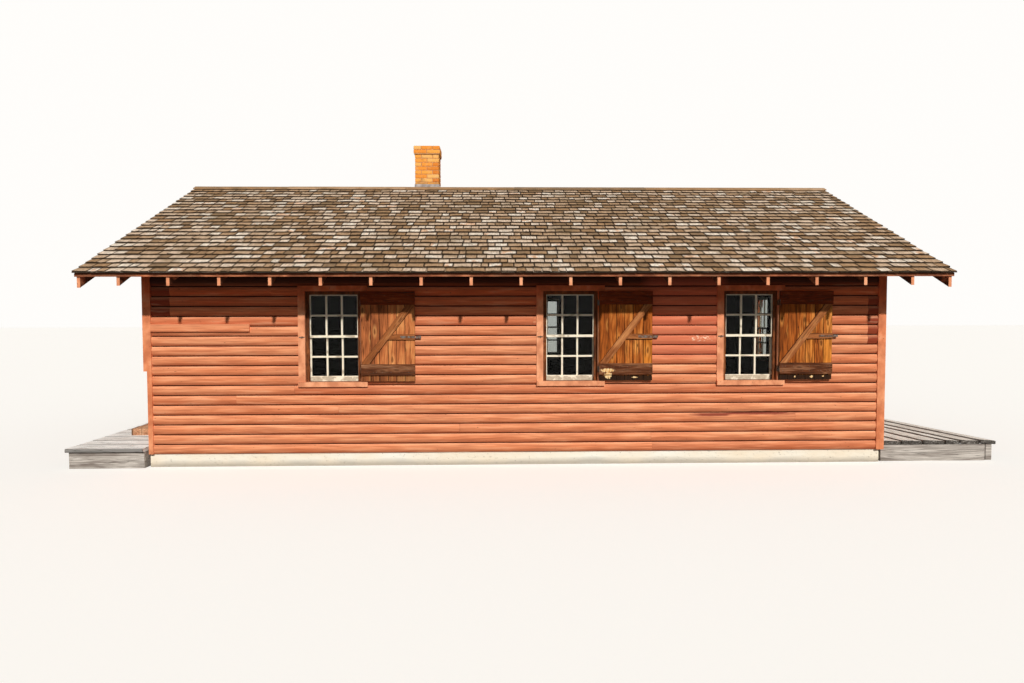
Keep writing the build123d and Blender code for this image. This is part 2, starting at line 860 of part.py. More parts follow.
# Doors: one plank door in each gable wall, shut in its frame
with BuildPart() as door_frames:
    for face, u in door_places:
        half = door_width / 2
        top = floor_top + door_height
        foot = floor_top + board_joint
        for side in (-1, 1):
            low, high = sorted((u + side * half, u + side * (half + casing_width)))
            board_on(face, low, high, foot, top - board_joint, 0, casing_board)
            low, high = sorted((u + side * half, u + side * (half + jamb_board)))
            board_on(face, low, high, foot, top - board_joint, -wall_thickness, -board_joint)
        edge = half + casing_width
        board_on(face, u - edge, u + edge, top, top + casing_width, 0, casing_board)
        edge = half + jamb_board
        board_on(face, u - edge, u + edge, top, top + jamb_board, -wall_thickness, -board_joint)
        edge = half + casing_width
        foot = floor_top - threshold_height
        board_on(face, u - edge, u + edge, foot, floor_top, 0, casing_board + sill_nose)
save(door_frames, "door_frames")

with BuildPart() as doors:
    for face, u in door_places:
        half = door_width / 2 - door_gap
        top = floor_top + door_height - door_gap
        outer = -door_thickness
        board_on(face, u - half, u + half, floor_top + board_joint, top, outer - door_thickness, outer)
save(doors, "doors")

# Deck at the right end: long planks along the gable wall, which fall to the back
deck_start = half_length + corner_board + deck_wall_gap
plank_foot = deck_top_z - plank_thickness


def deck_foot(y):
    """Height of the right deck's underside, which falls evenly to the back."""
    return plank_foot - (y - right_deck_front) * right_deck_fall


def between(y_low, y_high, x_low, x_high, foot, head):
    """A solid from a low to a high height, which may both change from y to y."""
    points = [(y_low, foot(y_low)), (y_high, foot(y_high)), (y_high, head(y_high)), (y_low, head(y_low))]
    extrude(outline(points, x_low), amount=x_high - x_low)


def on_ground(y):
    """The level ground."""
    return 0.0


def deck_top(y):
    """Height of the right deck's planks."""
    return deck_foot(y) + plank_thickness


with BuildPart() as right_deck_planks:
    near = deck_start
    for width in right_planks:
        between(right_deck_front, deck_back, near, near + width, deck_foot, deck_top)
        near += width + plank_gap
    deck_edge = near - plank_gap
save(right_deck_planks, "right_deck_planks")

# Cross sleepers under it. The front one is a beam that stands proud, beside a post.
post_near = deck_edge - post_inset - post_width
beam_front = right_deck_front - beam_proud
last_sleeper = deck_back - sleeper_inset - sleeper_width

with BuildPart() as right_deck_sleepers:
    for k in range(sleeper_count):
        y = beam_front + (last_sleeper - beam_front) * k / (sleeper_count - 1)
        end = deck_edge - sleeper_inset if k else post_near - post_gap
        between(y, y + sleeper_width, deck_start, end, on_ground, deck_foot)
    y = right_deck_front + beam_proud
    between(y, y + sleeper_width, post_near, post_near + post_width, on_ground, deck_foot)
save(right_deck_sleepers, "right_deck_sleepers")

# Landing at the left end: short planks that run out from the gable wall
landing_edge = deck_start + left_plank_length
landing_pitch = left_plank_width + plank_gap
landing_back = left_landing_front + left_plank_count * landing_pitch - plank_gap

with BuildPart() as left_landing_planks:
    for k in range(left_plank_count):
        y = left_landing_front + k * landing_pitch
        block(-landing_edge, -deck_start, y, y + left_plank_width, plank_foot, deck_top_z)
save(left_landing_planks, "left_landing_planks")

# A front beam and joists along the wall carry the landing
with BuildPart() as left_landing_sleepers:
    outer_x = sleeper_inset - landing_edge
    y = left_landing_front + sleeper_inset
    block(outer_x, -deck_start, y, y + sleeper_width, 0, plank_foot)
    y += sleeper_width + board_joint
    span = -deck_start - sleeper_width - outer_x
    for k in range(joist_count):
        x = outer_x + span * k / (joist_count - 1)
        block(x, x + sleeper_width, y, landing_back - sleeper_inset, 0, plank_foot)
save(left_landing_sleepers, "left_landing_sleepers")

# A timber step on the landing, in front of the left door and its threshold
with BuildPart() as left_step:
    half = door_width / 2 + step_overhang
    step_near = half_length + casing_board + sill_nose + deck_wall_gap
    block(
        -step_near - step_depth,
        -step_near,
        door_centre_y - half,
        door_centre_y + half,
        deck_top_z,
        deck_top_z + step_height,
    )
save(left_step, "left_step")
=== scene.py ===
# %% [markdown]
# # A log-sided cabin with a shingled roof
#
# The packed model gives every piece of the cabin at its real size, as plain solids. This
# lesson dresses it: separate half-round siding boards, single shingles, bricks, sash
# bars, shutter boards and cracked deck planks. Each new piece is a surface worked out
# with numpy and put in the place of the plain solid, or on it. Units are metres, X runs
# along the front wall, Y to the back and Z up.

import json
from itertools import pairwise
from math import atan, cos, hypot, pi, sin

import bmesh
import bpy
import numpy as np
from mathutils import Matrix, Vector

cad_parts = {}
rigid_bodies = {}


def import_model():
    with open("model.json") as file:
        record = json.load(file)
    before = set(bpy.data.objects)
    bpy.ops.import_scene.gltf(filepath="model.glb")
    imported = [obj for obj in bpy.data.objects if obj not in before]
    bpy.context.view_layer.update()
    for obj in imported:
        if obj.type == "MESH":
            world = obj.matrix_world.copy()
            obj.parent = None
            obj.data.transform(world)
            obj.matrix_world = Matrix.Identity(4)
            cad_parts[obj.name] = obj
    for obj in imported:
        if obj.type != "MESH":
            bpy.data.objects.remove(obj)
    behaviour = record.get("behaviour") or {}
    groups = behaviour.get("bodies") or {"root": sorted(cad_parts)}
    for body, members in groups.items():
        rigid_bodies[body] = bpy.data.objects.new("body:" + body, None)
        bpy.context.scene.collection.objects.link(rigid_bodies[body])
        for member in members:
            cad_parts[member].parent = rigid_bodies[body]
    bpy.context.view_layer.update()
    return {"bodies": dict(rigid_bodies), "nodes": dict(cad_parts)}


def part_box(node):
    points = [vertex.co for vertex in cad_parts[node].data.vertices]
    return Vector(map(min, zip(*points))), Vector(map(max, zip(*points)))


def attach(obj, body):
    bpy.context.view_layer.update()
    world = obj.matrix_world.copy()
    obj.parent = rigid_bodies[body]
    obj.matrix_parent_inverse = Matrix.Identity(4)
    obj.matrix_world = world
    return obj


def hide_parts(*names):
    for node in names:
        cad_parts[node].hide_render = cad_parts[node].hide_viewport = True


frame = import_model()
nodes = frame["nodes"]
rng = np.random.default_rng(1931)

# %% [markdown]
# ## One way to make every board
#
# Nearly all of this building is boards. A board is a closed outline across its width
# and thickness, carried along its length. Done this way one function makes logs,
# planks, bars and trim, the ends can be cut on any slope, and every point knows how
# far along, across and out of its own board it lies. The wood grain is drawn later from
# those three numbers, so it always follows the board, whichever way the board is laid.


# %% Rings and faces
def ring_faces(rings, around):
    """Faces of a closed solid made of rings of points, numbered ring by ring.

    Point i of one ring, point i + 1 of it, and the same two of the next ring make a
    quad. The first and the last ring are closed by one flat face each.
    """
    start = np.arange(rings - 1)[:, None] * around
    here = np.arange(around)
    there = (here + 1) % around
    quads = np.stack([start + here, start + there, start + around + there, start + around + here], -1)
    ends = [here[::-1].tolist(), (here + (rings - 1) * around).tolist()]
    return quads.reshape(-1, 4).tolist() + ends


def eased_rectangle(low, high, inner, outer, ease):
    """An outline (across, out): a rectangle whose four corners are cut by ease."""
    a, b, c, d = low + ease, high - ease, inner + ease, outer - ease
    inside = [(low, c), (a, inner), (b, inner), (high, c)]
    return np.array(inside + [(high, d), (b, outer), (a, outer), (low, d)])


def carry(profile, start, end, stations=2, wander=0.0):
    """Rings of local points (along, across, out): the profile carried from start to end.

    start and end may be numbers, or arrays with one value a profile point, which cuts
    the end on a slope. wander is how far the rings drift off the straight line, on the
    sum of two sine waves with random phases.
    """
    part = np.linspace(0, 1, stations)[:, None]
    along = np.broadcast_to(start + (end - start) * part, (stations, len(profile)))
    shape = np.broadcast_to(profile, (stations, len(profile), 2)).copy()
    if wander:
        phase = rng.uniform(0, 2 * pi, (2, 2))
        middle = along.mean(1)[:, None]
        drift = np.sin(middle * 1.7 + phase[0]) + 0.6 * np.sin(middle * 4.9 + phase[1])
        shape += wander * drift[:, None, :] / 1.6
    return np.concatenate([along[..., None], shape], -1)


def axes(origin, along, across, out):
    """A board's own axes: where its local zero lies, and its three directions."""
    return np.array(origin, float), np.array([along, across, out], float)


def swapped(place):
    """The same place with along and across exchanged, for boards that run the other way."""
    origin, turn = place
    return origin, turn[[1, 0, 2]]


def moved(place, along, across=0.0):
    """The same directions, from a local zero that lies along and across the first one."""
    origin, turn = place
    return origin + turn[0] * along + turn[1] * across, turn


def cut(place, rings, tone=None, shift=None):
    """A finished board: its rings put in place, with its faces, grain and tone.

    World point = origin + along * direction 1 + across * direction 2 + out * direction 3.
    The grain keeps the true distance along, so that ends can be found from it. The rim
    runs from -1 at one edge of the board to 1 at the other.
    """
    origin, turn = place
    local = rings.reshape(-1, 3)
    if shift is None:
        shift = rng.uniform(3, 90, 2)
    low, high = local[:, 1].min(), local[:, 1].max()
    return {
        "points": origin + local @ turn,
        "faces": ring_faces(*rings.shape[:2]),
        "grain": local + np.array([0, *shift]),
        "tone": np.full(len(local), rng.uniform() if tone is None else tone),
        "rim": (2 * local[:, 1] - low - high) / (high - low),
    }


def board(place, across, out, along, ease, stations=2, wander=0.0, tone=None):
    """A straight board with eased edges, between two limits across, out and along."""
    profile = eased_rectangle(*across, *out, ease)
    return cut(place, carry(profile, *along, stations, wander), tone)


print("a plain board has", len(ring_faces(2, 8)), "faces")

# %% [markdown]
# ## From boards to one piece
#
# Hundreds of boards as hundreds of objects would be slow to handle, so the boards of one
# piece are joined into one mesh. Three attributes go along: "grain", the board's own
# coordinates, "tone", one number a board, which lets neighbours differ in colour, and
# "rim", which tells the edges of a board from its middle.

# %% Join solids into one piece
smooth_below = 0.6
carried = {"grain": ("FLOAT_VECTOR", "vector"), "tone": ("FLOAT", "value"), "rim": ("FLOAT", "value")}


def placed(name, data):
    """A new object in the scene, from a mesh, a lamp or a camera."""
    made = bpy.data.objects.new(name, data)
    bpy.context.scene.collection.objects.link(made)
    return made


def assemble(name, solids, finishes, body="house", replaces=()):
    """One mesh from many closed solids, laid one after another in one list of points.

    Face numbers of each solid are raised by the count of points before it. Faces that
    meet at less than smooth_below (radians) are shaded as one surface.
    """
    counts = np.cumsum([0] + [len(s["points"]) for s in solids])
    faces = [[i + first for i in face] for s, first in zip(solids, counts) for face in s["faces"]]
    mesh = bpy.data.meshes.new(name)
    mesh.from_pydata(np.concatenate([s["points"] for s in solids]), [], faces)
    for finish in finishes:
        mesh.materials.append(finish)
    if len(finishes) > 1:
        mesh.polygons.foreach_set("material_index", np.concatenate([s["finish"] for s in solids]))
    work = bmesh.new()
    work.from_mesh(mesh)
    bmesh.ops.recalc_face_normals(work, faces=work.faces)
    work.to_mesh(mesh)
    work.free()
    for key, (kind, width) in carried.items():
        if key in solids[0]:
            data = np.concatenate([s[key] for s in solids]).astype(np.float32)
            mesh.attributes.new(key, kind, "POINT").data.foreach_set(width, data.ravel())
    mesh.polygons.foreach_set("use_smooth", np.ones(len(mesh.polygons), bool))
    mesh.set_sharp_from_angle(angle=smooth_below)
    piece = placed(name, mesh)
    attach(piece, body)
    if replaces:
        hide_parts(*replaces)
    print(f"{name}: {len(solids)} solids, {sum(len(f) - 2 for f in faces)} triangles")


def redress(finish, *names):
    """Give plain solids of the model one finish."""
    for name in names:
        nodes[name].data.materials.clear()
        nodes[name].data.materials.append(finish)
    print(finish.name, "on", *names)


print("a joined piece carries", *carried)

# %% [markdown]
# ## A short way to write materials
#
# A procedural finish is a chain of nodes: a place on the board, noise stretched along the
# grain, a ramp that turns it into colour, and the same noise again as relief. The helpers
# below add one node a call and return its output, so each finish reads as a recipe:
# fade lays one more tint over the colour so far, wherever a value lies past a limit.


# %% Recipe helper
def add_node(tree, kind, inputs=(), out=0, **settings):
    """Add one node to a tree, fed by numbers or by other nodes, and return an output."""
    made = tree.nodes.new(kind)
    for key, value in settings.items():
        setattr(made, key, value)
    for key, value in dict(inputs).items():
        if isinstance(value, bpy.types.NodeSocket):
            tree.links.new(value, made.inputs[key])
        else:
            made.inputs[key].default_value = value
    return made.outputs[out]


class Finish:
    """A material being mixed. The colour so far is kept, and the rest returns sockets."""

    def __init__(self, name, roughness, settings=()):
        self.material = bpy.data.materials.new(name)
        self.material.use_nodes = True
        self.tree = self.material.node_tree
        self.shader = self.tree.nodes["Principled BSDF"]
        self.colour = None
        values = {"Roughness": roughness, "Specular IOR Level": 0.12} | dict(settings)
        for key, value in values.items():
            self.shader.inputs[key].default_value = value

    def add(self, kind, inputs=(), out=0, **settings):
        return add_node(self.tree, kind, inputs, out, **settings)

    def carried(self, name):
        """The tone or rim that the board carries."""
        return self.add("ShaderNodeAttribute", attribute_name=name, out="Fac")

    def place(self, scale=(1, 1, 1), grain=True):
        """Where the surface point lies, on its board or in the building, stretched."""
        if grain:
            spot = self.add("ShaderNodeAttribute", attribute_name="grain", out="Vector")
        else:
            spot = self.add("ShaderNodeTexCoord", out="Object")
        return self.add("ShaderNodeMapping", {"Vector": spot, "Scale": scale})

    def axis(self, letter, grain=False):
        """One coordinate, in the building or along the board."""
        return self.add("ShaderNodeSeparateXYZ", {"Vector": self.place(grain=grain)}, out=letter)

    def noise(self, stretch, detail, grain=True, twist=0.0, scale=1.0):
        """Noise from 0 to 1, finer where the stretch is greater."""
        spot = self.place(stretch, grain)
        values = {"Vector": spot, "Scale": scale, "Detail": detail, "Distortion": twist}
        return self.add("ShaderNodeTexNoise", values, out="Fac")

    def oval(self, x, z, wide, high):
        """Distance from a spot on a wall, 1 on an oval of that half width and height."""
        spots = {0: self.place((1 / wide, 0, 1 / high), False), 1: (x / wide, 0, z / high)}
        return self.add("ShaderNodeVectorMath", spots, out="Value", operation="DISTANCE")

    def ramp(self, value, *stops):
        """Colour stops (position, (r, g, b)), straight between them."""
        made = self.add("ShaderNodeValToRGB", {"Fac": value}).node
        while len(made.color_ramp.elements) < len(stops):
            made.color_ramp.elements.new(0.5)
        for element, (position, colour) in zip(made.color_ramp.elements, stops):
            element.position = position
            element.color = (*colour, 1)
        return made.outputs[0]

    def step(self, value, low, high, top=1.0):
        """0 below low, top above high, straight in between."""
        values = {"Value": value, "From Min": low, "From Max": high, "To Max": top}
        return self.add("ShaderNodeMapRange", values)

    def sums(self, operation, *values):
        return self.add("ShaderNodeMath", dict(enumerate(values)), operation=operation)

    def plus(self, first, second):
        return self.sums("ADD", first, second)

    def minus(self, first, second):
        return self.sums("SUBTRACT", first, second)

    def times(self, product, *values):
        for value in values:
            product = self.sums("MULTIPLY", product, value)
        return product

    def apart(self, first, second):
        """How far two numbers are from each other."""
        return self.sums("ABSOLUTE", self.minus(first, second))

    def mix(self, amount, first, second):
        sockets = [c if isinstance(c, bpy.types.NodeSocket) else (*c, 1) for c in (first, second)]
        values = {"Factor": amount, 6: sockets[0], 7: sockets[1]}
        return self.add("ShaderNodeMix", values, out=2, data_type="RGBA")

    def cover(self, amount, tint):
        """Lay a tint over the colour so far."""
        self.colour = self.mix(amount, self.colour, tint)

    def fade(self, value, low, high, top, tint):
        """Lay on none of a tint where the value is low, and up to top of it where high."""
        self.cover(self.step(value, low, high, top), tint)

    def done(self, relief=None, depth=0.0):
        """Join colour and relief to the shader. depth is the relief's height in metres."""
        if self.colour:
            self.tree.links.new(self.colour, self.shader.inputs["Base Color"])
        if relief:
            bump = self.add("ShaderNodeBump", {"Height": relief, "Distance": depth, "Strength": 1.0})
            self.tree.links.new(bump, self.shader.inputs["Normal"])
        return self.material


def mottled(name, roughness, stretch, detail, ends, tints, depth, grain=False, settings=()):
    """Two tints mixed by noise between its two ends. The same noise is the relief."""
    finish = Finish(name, roughness, settings)
    patch = finish.noise(stretch, detail, grain)
    finish.colour = finish.mix(finish.step(patch, *ends), *tints)
    return finish.done(patch, depth)


print("recipe words:", *(word for word in vars(Finish) if word[0] != "_"))

# %% [markdown]
# ## Red paint on wood
#
# The siding was painted brick red and has faded to a dusty orange where the sun reaches
# it. Under the eaves it stays darker and redder, partly paint that the sun has spared and
# partly a painted tint for the eaves' shade, and at the top of the walls painted shade
# turns it nearly black. The recipe mixes a faded and a fresh red by height and by board,
# adds fine streaks along the grain, and a few dark specks. Each board also gets painted
# shade along its lower edge and a painted highlight on its upper half. The streaks also
# lift the surface a little, as raised grain does under old paint.

# %% Siding paint
faded_red, dusty_red, bleached_and_highlight_red = (0.87, 0.290, 0.128), (0.93, 0.41, 0.21), (0.98, 0.46, 0.25)
fresh_red, newer_red, rosy_red = (0.46, 0.066, 0.020), (0.20, 0.016, 0.008), (0.70, 0.155, 0.085)
shade_red, lip_shade_red, smear_red = (0.92, 0.145, 0.034), (0.34, 0.070, 0.028), (0.20, 0.02, 0.014)
dark_streak, pale_streak, speck_tint = (0.36, 0.075, 0.030), (0.95, 0.50, 0.30), (0.12, 0.035, 0.02)
eave_shade_black, painted_shade_tint, undercoat = (0.026, 0.007, 0.004), (0.030, 0.008, 0.005), (1.0, 0.72, 0.52)
shade_foot, shade_top = 2.05, 2.40
eave_shade_foot, eave_shade_top = 2.35, 2.43
smear_left, smear_right, smear_z, smear_climb = 2.25, 3.80, 0.655, 0.022
dull_left, dull_right, dull_foot = (1.60, 1.75), (2.80, 2.66), (1.36, 1.48)
flaked_spot = (2.45, 1.685, 2 / 11, 1 / 22)
front_y, back_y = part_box("front_siding")[1].y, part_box("back_siding")[0].y
middle_y = (front_y + back_y) / 2
half_depth = middle_y - front_y


def wall_marks(paint, height):
    """Painted shade under both eaves; a rosier patch, pale flakes and a long smear in front."""
    along, deep = paint.axis("X"), paint.axis("Y")
    long_side = paint.step(paint.apart(deep, middle_y), half_depth - 0.2, half_depth - 0.1)
    # painted shade: nearly black at the top of the two long walls, under the eaves
    paint.cover(paint.times(paint.step(height, eave_shade_foot, eave_shade_top, 0.93), long_side), eave_shade_black)
    front = paint.step(deep, 1.0, 0.5)
    # duller, rosier paint between the middle shutter and the right window
    dull = paint.times(paint.step(along, *dull_left), paint.step(along, *dull_right))
    paint.cover(paint.times(dull, paint.step(height, *dull_foot), front, 0.55), rosy_red)
    flake = paint.step(paint.noise((34, 34, 70), 4, False), 0.55, 0.60)
    flake = paint.times(flake, paint.step(paint.oval(*flaked_spot), 1.1, 0.8))
    paint.cover(paint.times(flake, paint.times(front, 0.85)), undercoat)
    middle = paint.sums("MULTIPLY_ADD", along, smear_climb, smear_z - smear_climb * smear_left)
    ragged = paint.step(paint.noise((3, 3, 20), 4, False), 0.3, 0.7, 0.03)
    band = paint.step(paint.minus(paint.apart(height, middle), ragged), 0.012, -0.006)
    left_end = paint.step(along, smear_left, smear_left + 0.2)
    inside = paint.times(left_end, paint.step(along, smear_right, smear_right - 0.1))
    paint.cover(paint.times(band, inside, front, 0.85), smear_red)


def red_paint(name, grain, stained=False, painted_shade=0.0, bleach=0.0, unshaded_end=None, dark_above=None):
    """Faded red paint, along the board's grain or, for plain solids, in the building.

    The shade amount, from 0 to 1, is how much of it a near-black painted shade covers,
    and bleach how far the sun has paled it. Past the unshaded end (from the middle of the
    house) there is no painted shade, and above the height dark_above it is all painted
    shade, for the shadow of the shingles' edge. Those two are for wood that the painted
    red tint of the eaves' shade is kept off.
    """
    paint = Finish(name, 0.72)
    streak = paint.noise((2.2, 34, 34) if grain else (9, 9, 7), 6, grain)
    cloud = paint.noise((1.3, 7, 7) if grain else (2, 2, 2), 3, grain)
    speck = paint.noise((26, 75, 75) if grain else (40, 40, 40), 2, grain)
    height = paint.axis("Z")
    paint.colour = paint.mix(paint.step(cloud, 0.38, 0.72, 0.75), faded_red, dusty_red)
    paint.cover(bleach, bleached_and_highlight_red)
    if not (unshaded_end or dark_above):
        # darker and redder towards the eaves: partly paint the sun has spared, partly a painted tint of the
        # eaves' shade
        climb = paint.plus(height, paint.step(cloud, 0.3, 0.7, 0.3))
        paint.fade(climb, shade_foot, shade_top, 0.75, shade_red)
    if grain:
        tone, rim = paint.carried("tone"), paint.carried("rim")
        paint.fade(tone, 0.80, 0.93, 0.45, fresh_red)
        paint.fade(tone, 0.22, 0.0, 0.35, dusty_red)
        paint.fade(tone, 0.93, 0.96, 0.85, newer_red)
        # painted shade along each board's lower edge, and a painted highlight on its upper half
        paint.fade(rim, -0.45, -1.0, 0.60, lip_shade_red)
        paint.fade(rim, 0.0, 0.7, 0.42, bleached_and_highlight_red)
    paint.fade(streak, 0.60, 0.38, 0.45, dark_streak)
    paint.fade(streak, 0.56, 0.72, 0.40, pale_streak)
    paint.fade(speck, 0.70, 0.76, 0.7, speck_tint)
    if stained:
        wall_marks(paint, height)
    # painted shade, near black: in patches, and all over above the height where the shingles shade the trim
    if painted_shade:
        patchy = paint.step(paint.noise((5, 5, 9), 5, False), 0.20, 0.50)
        if unshaded_end:
            away = paint.apart(paint.axis("Y"), middle_y)
            patchy = paint.times(patchy, paint.step(away, unshaded_end - 0.003, unshaded_end - 0.006))
        if dark_above:
            above = paint.step(height, dark_above - 0.004, dark_above + 0.004)
            patchy = paint.sums("MAXIMUM", patchy, above)
        paint.cover(paint.times(patchy, painted_shade), painted_shade_tint)
    return paint.done(paint.plus(streak, paint.step(speck, 0.76, 0.68, 0.5)), 0.0016)


tail_plane = middle_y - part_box("rafters")[0].y
trim_shade_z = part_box("roof_trims")[0].z + 0.020
siding_paint = red_paint("siding_paint", True, stained=True)
board_paint = red_paint("board_paint", True)
# soffit boards, rafters inboard of their tail ends and the eave trim lie in the eaves' shade: painted shade
# darkens them
soffit_paint = red_paint("soffit_paint", True, painted_shade=0.985)
rafter_paint = red_paint("rafter_paint", False, painted_shade=0.93, bleach=0.6, unshaded_end=tail_plane)
eave_paint = red_paint("eave_paint", False, painted_shade=0.72, dark_above=trim_shade_z)
# nearly black painted shade for the set-back tongue under each log's lip
groove_shade_tints = (0.022, 0.007, 0.004), (0.085, 0.024, 0.014)
groove_shade = mottled("groove_shade", 0.9, (3, 20, 20), 4, (0, 1), groove_shade_tints, 0.001, True)
redress(red_paint("trim_paint", False), "corner_boards", "ridge_board", "door_frames")
redress(red_paint("casing_paint", False, bleach=0.65), "window_casings")
redress(rafter_paint, "rafters", "barge_rafters")
redress(eave_paint, "roof_trims")

# %% [markdown]
# ## Log siding
#
# Each siding board is half round, thick at its belly and thin where two courses meet.
# The plain solid has one smooth skin of such courses. Real boards are a few metres
# long, meet end to end, and lip over the board below, whose shadow draws the dark line
# under each course; the set-back tongue under the lip is also painted dark, as painted
# shade. So each course is cut into parts round windows and doors, split at its butt
# joints, and each part is its own closed board.

# %% Where the boards go
course = 0.130
belly, groove = 0.038, 0.014
lip, lip_high = 0.004, 0.012
tongue, tongue_out = 0.015, 0.003
wall_back = 0.001
foot_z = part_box("front_siding")[0].z
roof_slope = 0.460
window_centres = (-2.454, 0.682, 3.093)
gable_window_y = 3.892
window_half, casing, head_casing = 0.364, 0.089, 0.073
sill_z, head_z = 1.120, 2.316
sill_foot = sill_z - 0.062
door_y, door_half, door_foot, door_head = 1.430, 0.457, 0.350, 2.360
clear, least_band, least_length = 0.001, 0.006, 0.02
newer_zone, newer_tone, log_drift = 0.6, 0.97, (0.0004, 0.0009)


def window_gap(centre):
    """The rectangle (low, high, foot, top) that a window takes out of the siding."""
    side = window_half + casing + clear
    return centre - side, centre + side, sill_foot - clear, head_z + head_casing + clear


def free_parts(low, high, left, right, gaps):
    """What the gaps leave of a strip: parts (left, right, low, high).

    The strip is cut at every gap's edge. In each slice the gaps are taken off the
    height, and slices side by side with the same heights are joined again.
    """
    edges = sorted({left, right, *(e for g in gaps for e in g[:2] if left < e < right)})
    parts = []
    for a, b in pairwise(edges):
        bands = [(low, high)]
        for g in gaps:
            if g[0] < (a + b) / 2 < g[1]:
                bands = [q for p in bands for q in ((p[0], min(p[1], g[2])), (max(p[0], g[3]), p[1]))]
                bands = [p for p in bands if p[1] - p[0] > least_band]
        for band in bands:
            joined = [p for p in parts if p[1] == a and (p[2], p[3]) == band]
            if joined:
                joined[0][1] = b
            else:
                parts.append([a, b, *band])
    return parts


long_gaps = [window_gap(centre) for centre in window_centres]
print("a course between the windows has", len(free_parts(1.49, 1.62, -4.8, 4.8, long_gaps)), "parts")


# %% One wall of siding
def log_outline(low, high, foot):
    """A log's outline (across, out) from low to high, in the course that starts at foot.

    out = belly - radius + root(radius^2 - (height - middle of the course)^2), on the
    circle through both grooves and the belly. The lower edge lips out, and the last
    stretch at the top is a flat tongue set back to the wall, in the lip's shadow.
    """
    rise = belly - groove
    radius = ((course / 2) ** 2 + rise**2) / (2 * rise)
    shoulder = foot + course - tongue
    outline = []
    if low < shoulder:
        top = min(high, shoulder)
        height = (low + top) / 2 - (top - low) / 2 * np.cos(np.linspace(0, pi, 8))
        out = belly - radius + np.sqrt(radius**2 - (height - foot - course / 2) ** 2)
        out += lip * np.clip(1 - (height - foot) / lip_high, 0, 1)
        outline += list(zip(height, out))
    if high > shoulder:
        outline += [(max(low, shoulder), tongue_out), (high, tongue_out)]
    return np.array(outline + [(high, wall_back), (low, wall_back)])


def log_wall(place, left, right, top, gaps, joints, crest=None):
    """Every board of one wall. joints gives fixed butt joints for some courses.

    Each course drifts a little along the wall, on a wave that all its parts share. With
    a crest (centre, height), both ends follow the slopes that fall from it. Boards near
    the ends of a wall are newer, and darker.
    """
    boards = []
    for k in range(int((top - foot_z) / course) + 1):
        low = foot_z + k * course
        high = min(low + course, top)
        if high - low < 0.01:
            continue
        marks = list(joints.get(k, [])) + list(rng.uniform(left + 0.8, right - 0.8, 1))
        marks = [left - 1] + sorted(marks) + [right + 1]
        tones = rng.uniform(0, 0.93, len(marks))
        shifts = rng.uniform(3, 90, (len(marks), 2))
        phase = rng.uniform(0, 2 * pi, 4)
        for a, b, z0, z1 in free_parts(low, high, left, right, gaps):
            outline = log_outline(z0, z1, low)
            for i, (m, n) in enumerate(pairwise(marks)):
                start, end = max(a, m + clear), min(b, n - clear)
                if end - start < least_length:
                    continue
                if crest:
                    reach = (crest[1] - outline[:, 0]) / roof_slope
                    start = np.clip(start, crest[0] - reach, crest[0] + reach)
                    end = np.clip(end, crest[0] - reach, crest[0] + reach)
                    if (end - start).max() < least_length:
                        continue
                rings = carry(outline, start, end, max(3, int(np.max(end - start) / 0.35)))
                x = rings[..., :1]
                waves = np.sin(x * (1.3, 3.1) + phase[:2]) + 0.5 * np.sin(x * (5.3, 7.7) + phase[2:])
                rings[:, :-2, 1:] += waves[:, :-2] * log_drift
                newer = n - left < newer_zone or right - m < newer_zone
                log = cut(place, rings, newer_tone if newer else tones[i], shifts[i])
                # the set-back tongue faces take the second finish: painted shade in the groove
                set_back = np.maximum(outline[:, 1], np.roll(outline[:, 1], -1)) < tongue_out + 0.001
                log["finish"] = np.append(np.tile(set_back, len(rings) - 1), [0, 0]).astype(np.int32)
                boards.append(log)
    return boards


print("log outline points:", len(log_outline(0.19, 0.32, 0.19)))

# %% Siding on four walls
left_x, right_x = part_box("left_siding")[1].x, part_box("right_siding")[0].x
half_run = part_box("front_siding")[1].x
gable_low, gable_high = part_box("left_siding")[0].y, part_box("left_siding")[1].y
ridge_y, gable_top = (gable_low + gable_high) / 2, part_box("left_siding")[1].z
ridge_slot = 0.020
patch_z, patch_out, patch_end = (1.786, 1.886), (0.028, 0.060), -3.535

door_side = door_half + casing + clear
door_gap = (door_y - door_side, door_y + door_side, door_foot - clear, door_head + casing + clear)
ridge_gap = (ridge_y - ridge_slot, ridge_y + ridge_slot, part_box("ridge_board")[0].z - clear, gable_top + 1)
gable_gaps = [window_gap(gable_window_y), door_gap, ridge_gap]
front_joints = {k: [4.68] for k in (11, 12, 13)} | {k: [-4.57, 4.68] for k in (14, 15)}
front_joints |= {16: [-4.57, -3.25], 17: [-4.57, -3.02]}
crest = (ridge_y, gable_top)
along_x, along_y, up = (1, 0, 0), (0, 1, 0), (0, 0, 1)
wall_sides = {
    "front": ((0, front_y, 0), along_x, (0, -1, 0)), "back": ((0, back_y, 0), along_x, along_y),
    "left": ((left_x, 0, 0), along_y, (-1, 0, 0)), "right": ((right_x, 0, 0), along_y, along_x),
}
for side, (origin, along, out) in wall_sides.items():
    place = axes(origin, along, up, out)
    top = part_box(f"{side}_siding")[1].z
    if side in ("front", "back"):
        joints = front_joints if side == "front" else {}
        boards = log_wall(place, -half_run, half_run, top, long_gaps, joints)
    else:
        boards = log_wall(place, gable_low, gable_high, top, gable_gaps, {}, crest)
    if side == "front":
        # a flat board nailed over the seam of two courses at the left end
        patch = board(place, patch_z, patch_out, (-half_run + clear, patch_end), 0.003, 12, 0.0012, 0.5)
        patch["finish"] = np.zeros(len(patch["faces"]), np.int32)
        boards.append(patch)
    assemble(f"{side}_logs", boards, [siding_paint, groove_shade], replaces=[f"{side}_siding"])

# %% [markdown]
# ## Shingles
#
# A split shingle is a thin wedge of wood, thick at its lower end. Courses overlap, so
# each one steps up where the next begins. Every shingle here has its own width, length,
# warp and colour, because that is what makes such a roof look like wood and not like
# tiles. There are thousands, so all are worked out at once as arrays from a handful of
# points: three across and two along, above and below.

